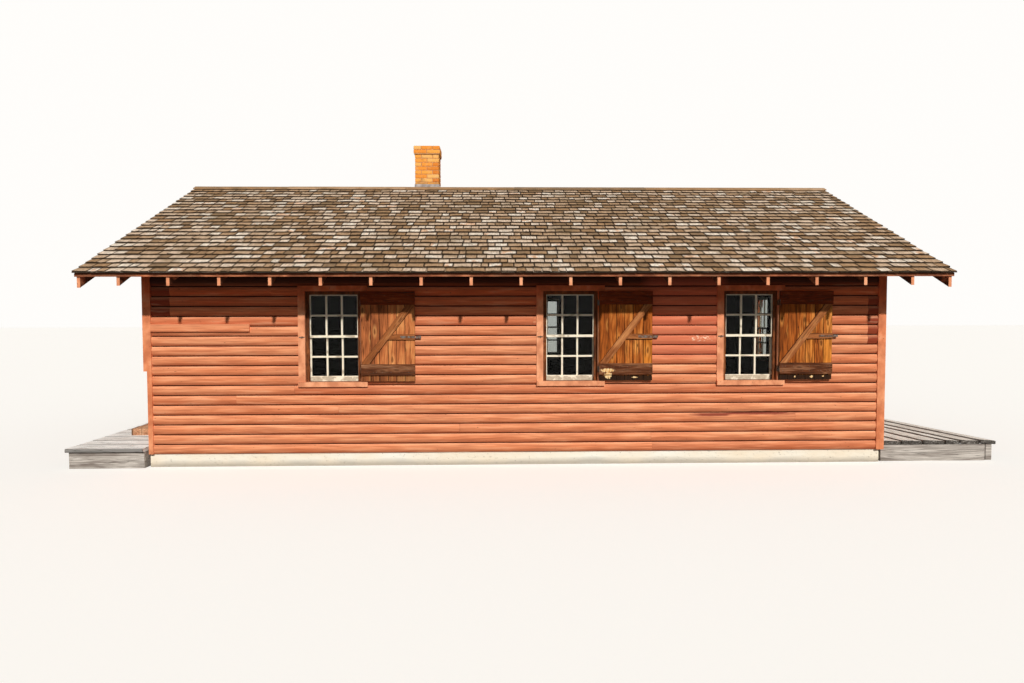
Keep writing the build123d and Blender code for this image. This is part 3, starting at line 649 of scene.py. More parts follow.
# %% Shingle finishes
grain_and_shade_dark, side_dark, end_and_shade_dark = (0.075, 0.045, 0.025), (0.040, 0.024, 0.013), (0.020, 0.012, 0.007)
moss_brown = (0.19, 0.125, 0.060)
shingle_stops = (
    (0.05, (0.24, 0.160, 0.095)), (0.25, (0.43, 0.255, 0.130)), (0.50, (0.62, 0.440, 0.295)),
    (0.74, (0.82, 0.635, 0.480)), (0.88, (0.97, 0.87, 0.74)), (0.92, (0.86, 0.56, 0.38)),
    (1.0, (0.64, 0.36, 0.17)),
)


def shingle_finish(name, dim=False, lapped=True):
    """Split wood that has greyed unevenly: brown, tan, silver and a few pink ones.

    Lapped ones get painted shade just below the next course's butt and on the part that it
    covers, which shows under lifted butts and through the gaps. They are dark along their
    sides too, partly weathered wood and partly painted shade of the gaps. Dim ones are
    nearly black: on the butt ends partly dark end grain and partly painted shade.
    """
    wood = Finish(name, 0.85)
    fibre = wood.noise((5, 95, 95), 6)
    patch = wood.step(wood.noise((7, 9, 9), 3), 0.25, 0.75, 0.18)
    wood.colour = wood.ramp(wood.plus(wood.times(wood.carried("tone"), 0.82), patch), *shingle_stops)
    wood.fade(fibre, 0.56, 0.36, 0.50, grain_and_shade_dark)
    if lapped:
        # painted shade just under the next course's butt and on the part it covers
        wood.fade(wood.axis("X", True), 0.118, 0.150, 0.85, grain_and_shade_dark)
        # dark sides: partly weathered wood, partly painted shade of the gaps between shingles
        ragged = wood.plus(wood.carried("rim"), wood.times(fibre, 0.06))
        wood.fade(ragged, 0.945, 0.975, 0.78, side_dark)
    wood.fade(wood.noise((2.2, 2.2, 2.2), 5, False), 0.52, 0.72, 0.60, moss_brown)
    if dim:
        # nearly black: on the butt ends partly dark end grain and partly painted shade
        wood.cover(0.96, end_and_shade_dark)
    return wood.done(fibre, 0.003)


shingle_top = shingle_finish("shingle_top")
shingle_end = shingle_finish("shingle_end", dim=True)
ridge_wood = shingle_finish("ridge_wood", lapped=False)
print("shingle finishes:", shingle_top.name, shingle_end.name, ridge_wood.name)

# %% Lay both slopes
exposure, overlap = 0.152, 0.045
butt, butt_under, thin = 0.020, 0.0105, 0.006
under_end = 1.31
angle = atan(roof_slope)
narrow, wide, split, least_wide = 0.085, 0.245, 0.013, 0.06
most_slip, most_skew, lift_range = 0.009, 0.003, (-0.003, 0.006)
roof_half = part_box("front_shingles")[1].x
eave_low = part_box("front_shingles")[0]
back_eave = 2 * ridge_y - eave_low.y
slope_length = (ridge_y - eave_low.y) * hypot(1, roof_slope)
chimney_low, chimney_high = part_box("chimney_flashing")
chimney_room = 0.004


def roof_axes(back):
    """Along runs up the slope, across runs along X, out stands off the roof boards."""
    turn, eave = (-1, back_eave) if back else (1, eave_low.y)
    rise, off = (0, turn * cos(angle), sin(angle)), (0, -turn * sin(angle), cos(angle))
    return axes((0, eave, eave_low.z), rise, along_x, off)


def chimney_hole(back, room):
    """The gap that the chimney takes out of the back slope, wider by room on each side.

    Distance up that slope at a place y = (back_eave - y) / cosine of its angle.
    """
    ends = [(back_eave - y) / cos(angle) for y in (chimney_high.y + room, chimney_low.y - room)]
    return [(chimney_low.x - room, chimney_high.x + room, *ends)] if back else []


def shingle_slope(back):
    """All shingles of one slope, as one entry of a list of solids.

    The top surface falls from butt to thin over one exposure: height = butt - (butt -
    thin) * fall, where fall = (distance up - start of the course) / exposure. The
    underside falls from butt_under to nothing at under_end, each corner is lifted a
    little at random, and every end is plumb: distance up grows by height * roof slope.
    """
    hole = chimney_hole(back, chimney_room)
    rows = []
    for k in range(-1, int(slope_length / exposure) + 1):
        course_low = max(k, 0) * exposure
        course_high = min(course_low + exposure, slope_length)
        if course_high - course_low < least_length:
            continue
        for a, b, low, high in free_parts(course_low, course_high, -roof_half, roof_half, hole):
            widths = rng.uniform(narrow, wide, int((b - a) / narrow) + 2)
            marks = a + np.cumsum(widths)
            marks = np.concatenate([[a], marks[marks < b - least_wide], [b]])
            tail = overlap if high == course_high else 0.0
            for x0, x1 in pairwise(marks):
                rows.append((x0, x1, low, min(high + tail, slope_length), course_low, k < 0))
    rows = np.array(rows, float)
    count = len(rows)
    x0, x1, low, high, start, starter = (column[:, None, None] for column in rows.T)
    slip = rng.uniform(0.0, most_slip, (count, 1, 1)) * np.where(start > 0, 1, 0.6)
    gap = rng.uniform(0.35, 1.0, (count, 1, 1)) * split
    across = np.array([-1.0, 0.05, 1.0])[None, None, :]
    along = np.array([0.0, 1.0])[None, :, None]
    skew = rng.uniform(-most_skew, most_skew, (count, 1, 1))
    s = np.maximum(low + slip + skew * across * (1 - along) + (high - low - slip) * along, 0)
    x = (x0 + x1) / 2 + (x1 - x0 - gap) / 2 * across + 0 * along
    fall = (s - start) / exposure
    lift = rng.uniform(*lift_range, (count, 2, 3)) * (1 - 0.8 * along)
    top = butt - (butt - thin) * fall + lift - starter * (butt - butt_under)
    under = butt_under * (1 - fall / under_end) * (1 - 0.92 * starter)
    sheets = [np.stack(np.broadcast_arrays(s + out * roof_slope, x, out), -1) for out in (top, under)]
    local = np.concatenate([sheet.reshape(count, 6, 3) for sheet in sheets], 1)
    origin, turn = roof_axes(back)
    quads = np.array(
        [
            (0, 1, 4, 3), (1, 2, 5, 4), (6, 9, 10, 7), (7, 10, 11, 8), (0, 3, 9, 6),
            (2, 8, 11, 5), (0, 6, 7, 1), (1, 7, 8, 2), (3, 4, 10, 9), (4, 5, 11, 10),
        ]
    )
    grain = local.copy()
    grain[..., 0] -= rows[:, 4][:, None]
    grain[..., 1:] += rng.uniform(3, 90, (count, 1, 2))
    return {
        "points": origin + local.reshape(-1, 3) @ turn,
        "faces": (quads + 12 * np.arange(count)[:, None, None]).reshape(-1, 4).tolist(),
        "grain": grain.reshape(-1, 3),
        "tone": np.repeat(rng.uniform(0, 1, count), 12),
        "rim": np.tile([1, 0, 1] * 4, count),
        "finish": np.tile([0, 0, 0, 0, 0, 0, 1, 1, 0, 0], count).astype(np.int32),
    }


for side in ("front", "back"):
    slope = shingle_slope(side == "back")
    assemble(f"{side}_shakes", [slope], [shingle_top, shingle_end], replaces=[f"{side}_shingles"])
    print(side, "slope:", len(slope["points"]) // 12, "shingles")

# %% [markdown]
# ## Ridge cap and roof boards
#
# Two boards meet over the ridge and butt against the next pair at their ends. Under the
# shingles lie close boards, which show from below at the eaves. They run along the
# building, so they are laid with the same function, with the chimney taken out as a gap.

# %% Ridge cap
cap_low, cap_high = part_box("ridge_cap")
cap_board, cap_rise, cap_joint = 0.0150, 0.0035, 0.0015
cap_place = axes((0, ridge_y, cap_high.z), along_x, along_y, up)
cap_wing = ridge_y - cap_low.y
thick = cap_board * hypot(1, roof_slope)
caps = []
start = -roof_half
while start < roof_half - 0.01:
    end = min(start + rng.uniform(1.5, 2.5), roof_half)
    if roof_half - end < 0.5:
        end = roof_half
    sag = rng.uniform(0.0005, cap_rise)
    for turn in (-1, 1):
        wing = cap_wing - rng.uniform(0, 0.006)
        fall = wing * roof_slope + sag
        outline = np.array([(0, -sag), (turn * wing, -fall), (turn * wing, -fall - thick), (0, -thick - sag)])
        rings = carry(outline, start + cap_joint, end - cap_joint, 9, 0.0008)
        caps.append(cut(cap_place, rings, rng.uniform(0.0, 0.35)))
    start = end
# where a board's wave rises above the height of the plain cap, it is levelled
for solid in caps:
    solid["points"][:, 2] = np.minimum(solid["points"][:, 2], cap_high.z)
assemble("ridge_cap_boards", caps, [ridge_wood], replaces=["ridge_cap"])

# %% Roof boards
board_width, board_gap, board_thick, eave_trim = 0.184, 0.004, 0.019, 0.038
boards_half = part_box("front_roof_boards")[1].x
boards_start = eave_trim * hypot(1, roof_slope) + 0.002
for side in ("front", "back"):
    place = swapped(roof_axes(side == "back"))
    gaps = chimney_hole(side == "back", -chimney_room)
    planks = []
    start = boards_start
    while start < slope_length - 0.03:
        end = min(start + board_width, slope_length - 0.010)
        for a, b, low, high in free_parts(start, end - board_gap, -boards_half, boards_half, gaps):
            joints = sorted(m for m in rng.uniform(-boards_half, boards_half, 2) if a + 0.4 < m < b - 0.4)
            marks = [a, *joints, b]
            for left, right in pairwise(marks):
                out, ends = (-board_thick + 0.0005, -0.0010), (left + 0.001, right - 0.001)
                planks.append(board(place, (low, high), out, ends, 0.0015))
                # the upper face, under the shingles, gets the nearly black finish of the butt ends
                planks[-1]["finish"] = np.array([0, 0, 0, 0, 0, 1, 0, 0, 0, 0], np.int32)
        start = end
    finishes = [soffit_paint, shingle_end]
    assemble(f"{side}_roof_planks", planks, finishes, replaces=[f"{side}_roof_boards"])

# %% [markdown]
# ## Brick chimney
#
# The stack is two bricks wide. In one course the front and back show two long bricks
# and the sides fill in between; in the next course they swap, so no joint lies over
# another. The bricks stand a few millimetres proud of the mortar core behind them.

# %% Brick and mortar
joint, arris = 0.010, 0.004
splash_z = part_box("chimney_flashing")[1].z - 0.06
clay_stops = (
    (0.0, (0.72, 0.220, 0.035)), (0.4, (0.90, 0.330, 0.050)),
    (0.75, (0.94, 0.420, 0.080)), (1.0, (0.92, 0.520, 0.170)),
)
lime_smear, dark_grit = (0.92, 0.62, 0.32), (0.45, 0.14, 0.04)
smoke_brown, splash_brown = (0.20, 0.10, 0.05), (0.22, 0.13, 0.08)


def brick_finish():
    """Orange fired clay: tone by brick, sandy grain, soot and pale lime smears."""
    clay = Finish("chimney_brick", 0.85)
    grit = clay.noise((90, 90, 90), 4)
    smoke = clay.noise((7, 7, 7), 4, False)
    clay.colour = clay.ramp(clay.carried("tone"), *clay_stops)
    clay.fade(clay.noise((14, 14, 14), 3), 0.52, 0.78, 0.45, lime_smear)
    clay.fade(grit, 0.60, 0.72, 0.4, dark_grit)
    clay.fade(smoke, 0.62, 0.80, 0.5, smoke_brown)
    splash = clay.minus(clay.axis("Z"), clay.times(smoke, 0.16))
    clay.fade(splash, splash_z + 0.05, splash_z - 0.05, 0.75, splash_brown)
    return clay.done(grit, 0.002)


def brick_ring(centre, half, depth, foot, height, turned):
    """Six bricks round the flue. The long pairs lie on the front and back, or, turned,
    on the two sides."""
    fill = half - depth - joint
    bricks = []
    for side in (-1, 1):
        inner, outer = sorted((side * half, side * (half - depth)))
        bricks += [(-half, -joint / 2, inner, outer), (joint / 2, half, inner, outer)]
        bricks.append((inner, outer, -fill, fill))
    made = []
    for a, b, c, d in bricks:
        if turned:
            a, b, c, d = c, d, a, b
        jitter = rng.uniform(-0.0012, 0.0012, 2)
        place = axes((*(centre + jitter), foot), along_x, along_y, up)
        rings = carry(eased_rectangle(c, d, joint / 2, height - joint / 2, arris), a, b, 4)
        rings[1, :, 0], rings[2, :, 0] = a + arris, b - arris
        middle = np.array([(c + d) / 2, height / 2])
        for end in (0, 3):
            rings[end, :, 1:] += arris * np.sign(middle - rings[end, :, 1:])
        made.append(cut(place, rings))
    return made


stack_low, stack_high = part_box("chimney_stack")
stack_centre = np.array([(stack_low.x + stack_high.x) / 2, (stack_low.y + stack_high.y) / 2])
stack_place = axes((*stack_centre, 0), along_x, along_y, up)
flue_half, face_inset, cap_shadow = 0.100, 0.0065, 0.012
brick_clay = brick_finish()
lime_tints = (0.46, 0.22, 0.09), (0.78, 0.45, 0.21)
lime_mortar = mottled("chimney_mortar", 0.95, (60, 60, 60), 5, (0.35, 0.7), lime_tints, 0.003)
for name, rows in (("stack", 70), ("cap", 2)):
    low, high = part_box(f"chimney_{name}")
    half = (high.x - low.x) / 2 - 0.0013
    foot = low.z + (cap_shadow if name == "cap" else 0)
    height = (high.z - foot) / rows
    bricks = []
    for k in range(rows):
        bricks += brick_ring(stack_centre, half, half - flue_half, foot + k * height, height, k % 2 == 1)
    assemble(f"chimney_{name}_bricks", bricks, [brick_clay], replaces=[f"chimney_{name}"])
    core = []
    outer, inner = half - face_inset, flue_half + 0.003
    for side in (-1, 1):
        for *x, c, d in ((-outer, outer, inner, outer), (inner, outer, -inner, inner)):
            x, y = sorted(side * v for v in x), sorted((side * c, side * d))
            core.append(board(stack_place, y, (low.z, high.z - 0.002), x, 0.001))
    assemble(f"chimney_{name}_mortar", core, [lime_mortar])

# %% [markdown]
# ## Sashes, bars and glass
#
# Each window has two sashes of six panes. The frame of a sash is in the model already;
# the thin bars between the panes are added here. A bar is wide at the glass and narrow
# outside, where the putty slopes off. The cream paint has chipped, most on the sills
# of the lower sashes, so grey wood shows through.

# %% Cream paint, wood and glass
cream_coats = (1.0, 0.90, 0.70), (1.0, 0.98, 0.88)
bare_wood = (0.34, 0.27, 0.18), (0.82, 0.72, 0.56)
worn_foot, worn_top = 1.174, 1.184


def cream_paint(name):
    """Cream paint that has worn off in flakes, more towards the foot of a window."""
    paint = Finish(name, 0.55)
    fleck = paint.noise((8, 8, 9), 6, False, 0.4)
    worn = paint.plus(fleck, paint.step(paint.axis("Z"), worn_top, worn_foot, 0.16))
    bare = paint.step(worn, 0.56, 0.66)
    fibre = paint.noise((30, 30, 60), 5, False)
    paint.colour = paint.mix(paint.step(fibre, 0.4, 0.7, 0.5), *cream_coats)
    paint.cover(bare, paint.mix(fibre, *bare_wood))
    return paint.done(paint.minus(1.0, bare), 0.0008)


def sawn_wood(
    name, tints, grain=True, stretch=(2.5, 42, 42), dirt_and_shade=(0.05, 0.035, 0.025), damp_and_shade=None, knots=0.0,
    warm=None, weights=(0.24, 0.40, 0.34, 0.26), edge=0.0, scars=(),
):
    """Bare sawn wood: growth rings as bands bent by noise, fine fibre, and dark checks.

    tints are its dark, middle and pale colours, and weights say how much the rings, the
    fibre, large blotches and the board's own tone count. The damp pair (height, strength)
    darkens the first stretch along each board: damp on the shutters, and painted shade on
    the deck's plank ends. knots is how dark the knots are, edge how dark the board's sides:
    dark joints on the shutter boards, painted shade in the gaps between deck planks, and
    partly dirt and partly painted shade along the brace. warm (height, colour) tints the
    boards of a high tone below a height, where rain hardly reaches. scars (x, z, half width,
    half height) are pale breaks.
    """
    wood = Finish(name, 0.8)
    dark, mid, pale = tints
    ring = wood.noise(stretch, 3, grain, 0.9, 0.55)
    fibre = wood.noise(tuple(3.4 * s for s in stretch), 5, grain)
    band = wood.step(wood.sums("SINE", wood.times(ring, 42.0)), -1.0, 1.0)
    blotch = wood.noise(tuple(0.28 * s + 1.2 for s in stretch), 4, grain, 0.3)
    tint = wood.plus(wood.times(band, weights[0]), wood.times(fibre, weights[1]))
    tint = wood.plus(tint, wood.step(blotch, 0.30, 0.70, weights[2]))
    if grain:
        tint = wood.plus(tint, wood.step(wood.carried("tone"), 0.0, 1.0, weights[3]))
    wood.colour = wood.ramp(tint, (0.26, dark), (0.62, mid), (1.0, pale))
    if warm:
        low_down = wood.step(wood.axis("X", True), warm[0] + 0.02, warm[0] - 0.02)
        wood.cover(wood.times(low_down, wood.step(wood.carried("tone"), 0.62, 0.80, 0.65)), warm[1])
        wood.fade(fibre, 0.56, 0.36, 0.55, dark)
    if knots:
        cell = {"Vector": wood.place((1.7, 5.2, 5.2), grain), "Scale": 1.0}
        eye = wood.add("ShaderNodeTexVoronoi", cell, out="Distance", voronoi_dimensions="2D")
        eye = wood.sums("MULTIPLY_ADD", fibre, 0.10, eye)
        wood.fade(eye, 0.24, 0.15, 0.50 * knots, pale)
        wood.fade(eye, 0.130, 0.095, knots, dark)
    crack = wood.noise((stretch[0] * 0.5, stretch[1] * 1.2, stretch[2] * 1.2), 2, grain, 0.2)
    split = wood.step(wood.apart(crack, 0.5), 0.012, 0.002)
    wood.cover(wood.times(split, 0.7), dirt_and_shade)
    # a darker first stretch: damp on the shutters, painted shade on the deck's plank ends
    if damp_and_shade:
        along = wood.plus(wood.axis("X", True), wood.times(fibre, 0.03))
        wood.fade(along, damp_and_shade[0] + 0.015, damp_and_shade[0], damp_and_shade[1], dirt_and_shade)
    # darker sides: dark joints on shutters, painted shade between deck planks, partly painted shade on the
    # brace
    if edge:
        ragged = wood.sums("MULTIPLY_ADD", fibre, 0.08, wood.sums("ABSOLUTE", wood.carried("rim")))
        wood.fade(ragged, 0.945, 0.995, edge, dirt_and_shade)
    for scar in scars:
        splinter = wood.noise((60, 60, 22), 3, False)
        torn = wood.sums("MULTIPLY_ADD", splinter, 1.3, wood.oval(*scar))
        inner = wood.mix(wood.step(splinter, 0.60, 0.40), scar_warm, scar_tint)
        wood.fade(torn, 1.65, 1.50, 1.0, inner)
    relief = wood.minus(wood.plus(fibre, wood.times(band, 0.25)), split)
    return wood.done(relief, 0.0022)


def clear_glass():
    """Thin old window glass with a slight ripple, tinted grey as painted shade that dims the room behind it.
    """
    clear_pane = {"Transmission Weight": 1.0, "IOR": 1.17, "Base Color": (0.60, 0.62, 0.60, 1)}
    pane = Finish("old_glass", 0.03, clear_pane | {"Specular IOR Level": 0.5})
    return pane.done(pane.noise((5, 5, 4), 1, False), 0.0009)


sash_paint = cream_paint("sash_paint")
jamb_tints = (0.060, 0.018, 0.007), (0.24, 0.075, 0.024), (0.50, 0.190, 0.070)
redress(sash_paint, "window_sashes")
redress(sawn_wood("jamb_wood", jamb_tints, False, (30, 30, 4)), "window_jambs")
redress(clear_glass(), "window_glass")

# %% Bars between the panes
wall_faces = {
    side: axes(origin, np.cross(up, out), up, out) for side, (origin, _, out) in wall_sides.items()
}
window_spots = [("front", c) for c in window_centres] + [("back", -c) for c in window_centres]
window_spots += [("left", -gable_window_y), ("right", gable_window_y)]
stile, rail, foot_rail, recess, sash_deep = 0.0583, 0.032, 0.070, 0.040, 0.030
bar_half, bar_narrow, bar_inset = 0.0135, 0.011, 0.004
meeting = (sill_z + head_z) / 2


def bar_outline(middle, inner, outer):
    """A bar's outline (across, out): bar_half each side at the back, bar_narrow in front."""
    steps = ((-bar_half, inner), (bar_half, inner), (bar_narrow, outer), (-bar_narrow, outer))
    return np.array(steps) + (middle, 0)


bars = []
for face, centre in window_spots:
    place = wall_faces[face]
    reach = window_half - stile
    upper = (meeting + rail / 2, head_z - stile, -recess)
    lower = (sill_z + foot_rail, meeting - rail / 2, -recess - sash_deep - clear)
    for low, high, out in (upper, lower):
        inner, outer = out - sash_deep + bar_inset, out - bar_inset
        for side in (-1, 1):
            outline = bar_outline(centre + side * reach / 3, inner, outer)
            bars.append(cut(swapped(place), carry(outline, low, high)))
        outline = bar_outline((low + high) / 2, inner + 0.001, outer - 0.001)
        bars.append(cut(place, carry(outline, centre - reach, centre + reach)))
assemble("sash_bars", bars, [sash_paint])

# %% [markdown]
# ## Shutters
#
# A shutter is six upright boards held by a broad ledge at the top and another near the
# foot, with a brace that rises from the hinge side and a short ledge for the strap. The
# boards have weathered to a warm brown, nearly black where they stay wet below the foot
# ledge, and the ledges have gone dark. Clenched nails hold it all.

# %% Shutter finishes and sizes
orange, scar_tint, scar_warm = (0.78, 0.26, 0.030), (0.98, 0.74, 0.40), (0.84, 0.42, 0.13)
scars = (
    (1.168, 1.264, 0.095, 0.026), (1.172, 1.200, 0.050, 0.046), (1.53, 1.170, 0.040, 0.010),
    (3.68, 1.168, 0.016, 0.011), (3.905, 1.168, 0.020, 0.015), (4.06, 1.175, 0.014, 0.012),
)
board_looks = {"knots": 0.75, "stretch": (1.4, 15, 15), "dirt_and_shade": (0.014, 0.007, 0.004), "edge": 0.55}
board_looks["weights"] = (0.10, 0.30, 0.48, 0.36)
ledge_looks = {"stretch": (2.5, 30, 30)}
foot_looks = ledge_looks | {"knots": 0.5, "weights": (0.20, 0.40, 0.44, 0.26), "scars": scars[:2]}
# the brace's darkened sides are partly dirt and partly painted shade
brace_looks = {"knots": 0.6, "weights": (0.14, 0.36, 0.42, 0.26), "dirt_and_shade": (0.05, 0.02, 0.01), "edge": 0.8}
board_tints = (0.102, 0.022, 0.004), (0.48, 0.122, 0.018), (0.96, 0.40, 0.090)
drier_tints = (0.132, 0.035, 0.013), (0.57, 0.176, 0.056), (0.98, 0.47, 0.16)
head_tints = (0.070, 0.013, 0.004), (0.23, 0.036, 0.009), (0.42, 0.100, 0.028)
foot_tints = (0.027, 0.008, 0.003), (0.140, 0.042, 0.015), (0.42, 0.200, 0.100)
brace_tints = (0.10, 0.028, 0.009), (0.37, 0.120, 0.036), (0.68, 0.30, 0.11)
wet_looks = board_looks | {"damp_and_shade": (0.078, 0.97), "warm": (0.55, orange), "scars": scars}
wet_boards = sawn_wood("wet_shutter_boards", board_tints, **wet_looks)
dry_boards = sawn_wood("dry_shutter_boards", drier_tints, damp_and_shade=(0.077, 0.45), **board_looks)
head_ledge_wood = sawn_wood("head_ledge_wood", head_tints, **ledge_looks)
foot_ledge_wood = sawn_wood("foot_ledge_wood", foot_tints, **foot_looks)
brace_wood = sawn_wood("brace_wood", brace_tints, **ledge_looks, **brace_looks)
# dark forged iron with rust in patches
iron_tints = (0.20, 0.175, 0.155), (0.15, 0.065, 0.032)
iron_metal = {"Metallic": 0.2}
old_iron = mottled("old_iron", 0.55, (38, 38, 38), 5, (0.40, 0.58), iron_tints, 0.0006, False, iron_metal)
redress(old_iron, *(n for n in nodes if n.endswith("_irons") or n in ("hinge_pins", "shutter_hooks")))
side_gap, end_gap, hinge_out = 0.009, 0.008, 0.053
panel, ledge = 0.022, 0.022
top_ledge, foot_ledge, foot_rise = 0.172, 0.150, 0.078
mid_ledge, mid_rise, brace_wide = 0.072, 0.548, 0.088
shutter_width = 2 * window_half - 2 * side_gap
shutter_height = head_z - sill_z - 2 * end_gap
nail_size, nail_dome = 0.0045, 0.0022


def nail_heads(place, spots, out):
    """Domed nail heads: a ring of six points on the wood and one point above it."""
    turn = np.arange(6) * pi / 3
    spots = np.array(spots)[:, None, :]
    ring = spots + nail_size * np.stack([np.cos(turn), np.sin(turn)], -1)
    flat = np.concatenate([ring, spots], 1)
    height = np.broadcast_to([out] * 6 + [out + nail_dome], flat.shape[:2])
    local = np.concatenate([flat, height[..., None]], -1).reshape(-1, 3)
    base = np.arange(len(spots))[:, None, None] * 7
    sides = np.stack([np.arange(6), (np.arange(6) + 1) % 6, np.full(6, 6)], -1) + base
    faces = sides.reshape(-1, 3).tolist() + (np.arange(6)[::-1] + base[:, 0]).tolist()
    origin, turn = place
    tone = np.full(len(local), 0.5)
    return {"points": origin + local @ turn, "faces": faces, "grain": local, "tone": tone}


def shutter_solids(face, hinge_u):
    """Boards, head ledge, foot ledge, brace and nails of one shutter, from its hinge edge."""
    place = moved(wall_faces[face], hinge_u + side_gap, sill_z + end_gap)
    face_out, outer = hinge_out + panel, hinge_out + panel + ledge
    widths = rng.uniform(0.85, 1.2, 6)
    marks = np.concatenate([[0], np.cumsum(widths) / widths.sum() * shutter_width])
    boards = []
    for k, (left, right) in enumerate(pairwise(marks)):
        outline = eased_rectangle(left + 0.0015, right - 0.0015, hinge_out, face_out - 0.0002, 0.0022)
        rings = carry(outline, 0, shutter_height, 7)
        rings[0, :, 0] += rng.uniform(0, 0.005)
        boards.append(cut(swapped(place), rings, min(1.0, 0.10 + 0.14 * k + rng.uniform(-0.10, 0.20))))
    ledges = []
    foot, head = foot_rise + foot_ledge, shutter_height - top_ledge
    for low, high in ((head, shutter_height), (foot_rise, foot)):
        outline = eased_rectangle(low, high, face_out, outer, 0.003)
        rings = carry(outline, 0.001, shutter_width - 0.001, 9)
        edge = np.abs(rings[..., 1] - (low + high) / 2) > 0.01
        rings[..., 1] += 0.0015 * np.sin(rings[..., 0] * 9 + low) * edge
        ledges.append(cut(place, rings, 0.35))
    # the brace: both its ends are cut level, flush with the two ledges
    rise = head - foot
    lean = brace_wide * hypot(rise, shutter_width - brace_wide) / rise
    middle = np.array([(lean / 2, foot), (shutter_width - lean / 2, head)])
    run = middle[1] - middle[0]
    length = np.linalg.norm(run)
    way = run / length
    origin, turn = moved(place, *middle[0])
    sloped = axes(origin, turn[0] * way[0] + turn[1] * way[1], turn[1] * way[0] - turn[0] * way[1], turn[2])
    outline = eased_rectangle(-brace_wide / 2, brace_wide / 2, face_out, outer, 0.0025)
    slant = -outline[:, 0] * way[0] / way[1]
    light = [cut(sloped, carry(outline, slant, length + slant, 5), 0.7)]
    outline = eased_rectangle(mid_rise, mid_rise + mid_ledge, face_out, outer - 0.0006, 0.0025)
    reach = (outline[:, 0] - foot) / rise * (shutter_width - lean) + lean
    light.append(cut(place, carry(outline, reach - 0.001, shutter_width - 0.001, 5), 0.45))
    rows = (foot_rise + 0.045, foot_rise + 0.105, shutter_height - 0.05, shutter_height - 0.125)
    pairs = [(m + n) / 2 + e for m, n in pairwise(marks) for e in (-0.018, 0.018)]
    spots = [(x, z) for x in pairs for z in rows]
    side = np.array([way[1], -way[0]])
    for part in np.linspace(0.08, 0.92, 6):
        centre = middle[0] + run * part
        spots += [tuple(centre - 0.02 * side), tuple(centre + 0.02 * side)]
    return boards, ledges[:1], ledges[1:], light, [nail_heads(place, spots, outer - 0.0004)]


shutters = {f"{n}_shutter": [s] for n, s in zip(("left", "middle", "right"), window_spots)}
shutters |= {"back_shutters": window_spots[3:6], "gable_shutters": window_spots[6:]}
for node, spots in shutters.items():
    groups = [shutter_solids(face, centre + window_half) for face, centre in spots]
    body = node if node in frame["bodies"] else "house"
    looks = {
        "boards": dry_boards if node == "left_shutter" else wet_boards,
        "head_ledge": head_ledge_wood, "foot_ledge": foot_ledge_wood, "brace": brace_wood, "nails": old_iron,
    }
    for (part, finish), solids in zip(looks.items(), zip(*groups)):
        joined = [solid for group in solids for solid in group]
        assemble(f"{node}_{part}", joined, [finish], body, [node] if part == "boards" else ())

# a small iron latch on each front casing, level with the middle ledge: its bar and its
# eye, each with its height, how far it stands out, its ends from the opening, and its ease
latch_bar = (1.705, 1.719), (0.0452, 0.0530), (-0.075, -0.004), 0.002, 5
latch_eye = (1.699, 1.725), (0.0452, 0.0620), (-0.043, -0.030), 0.003
catches = []
for centre in window_centres:
    for high, out, ends, *rest in (latch_bar, latch_eye):
        ends = [centre - window_half + end for end in ends]
        catches.append(board(wall_faces["front"], high, out, ends, *rest))
assemble("casing_latches", catches, [old_iron])

# %% [markdown]
# ## Doors
#
# Each gable door is five upright boards. A strap hinge at the top and foot and a thumb
# latch are added, as such plank doors have.

# %% Plank doors
door_low, door_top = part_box("doors")[0].z, door_head - 0.003
door_in, door_out = -0.088, -0.0442
strap_out, plate_out = -0.0392, -0.0402
strap_rise, strap_drop, plate_z = 0.30, 0.34, (0.93, 1.15)
grip_z, grip_half, grip_reach, grip_thick = 1.04, 0.075, 0.038, 0.006
planks, straps = [], []
for face, centre in (("left", -door_y), ("right", door_y)):
    place = moved(wall_faces[face], centre)
    marks = np.linspace(-door_half + 0.003, door_half - 0.003, 6)
    for left, right in pairwise(marks):
        edges = (left + 0.0012, right - 0.0012)
        planks.append(board(swapped(place), edges, (door_in, door_out), (door_low, door_top), 0.004, 3))
    for height in (door_low + strap_rise, door_top - strap_drop):
        blade = [(-0.022, door_out), (0.022, door_out), (0.020, strap_out), (-0.020, strap_out)]
        rings = carry(np.array(blade) + (height, 0), door_half - 0.006, -0.16, 5)
        narrowing = np.array([1, 1, 0.85, 0.6, 0.12])[:, None]
        rings[..., 1] = height + (rings[..., 1] - height) * narrowing
        straps.append(cut(place, rings))
    plate, plate_ends = [door_low + z for z in plate_z], (-door_half + 0.045, -door_half + 0.085)
    straps.append(board(place, plate, (door_out, plate_out), plate_ends, 0.001))
    # the grip is a half hoop of round iron: hoop angle swing, section angle ring
    swing = np.linspace(0, pi, 9)
    grip = np.stack([np.sin(swing) * grip_reach, door_low + grip_z - grip_half * np.cos(swing)], -1)
    ring = np.linspace(0, 2 * pi, 8, endpoint=False)
    along = -door_half + 0.065 + grip_thick * np.cos(ring)[None, :] + 0 * grip[:, :1]
    high = grip[:, 1:] - grip_thick * np.sin(ring) * np.cos(swing)[:, None]
    far = plate_out + grip[:, :1] + grip_thick * np.sin(ring) * np.sin(swing)[:, None]
    straps.append(cut(place, np.stack([along, high, np.maximum(far, -0.0410)], -1)))
assemble("door_boards", planks, [board_paint], replaces=["doors"])
assemble("door_irons", straps, [old_iron])

# %% [markdown]
# ## Weathered deck and landing
#
# Thick planks lie in the sun and rain: the edges round off, the tops split along the
# grain, and the ends open in checks. So the top of each outline has narrow notches
# whose depth rises and falls along the plank.


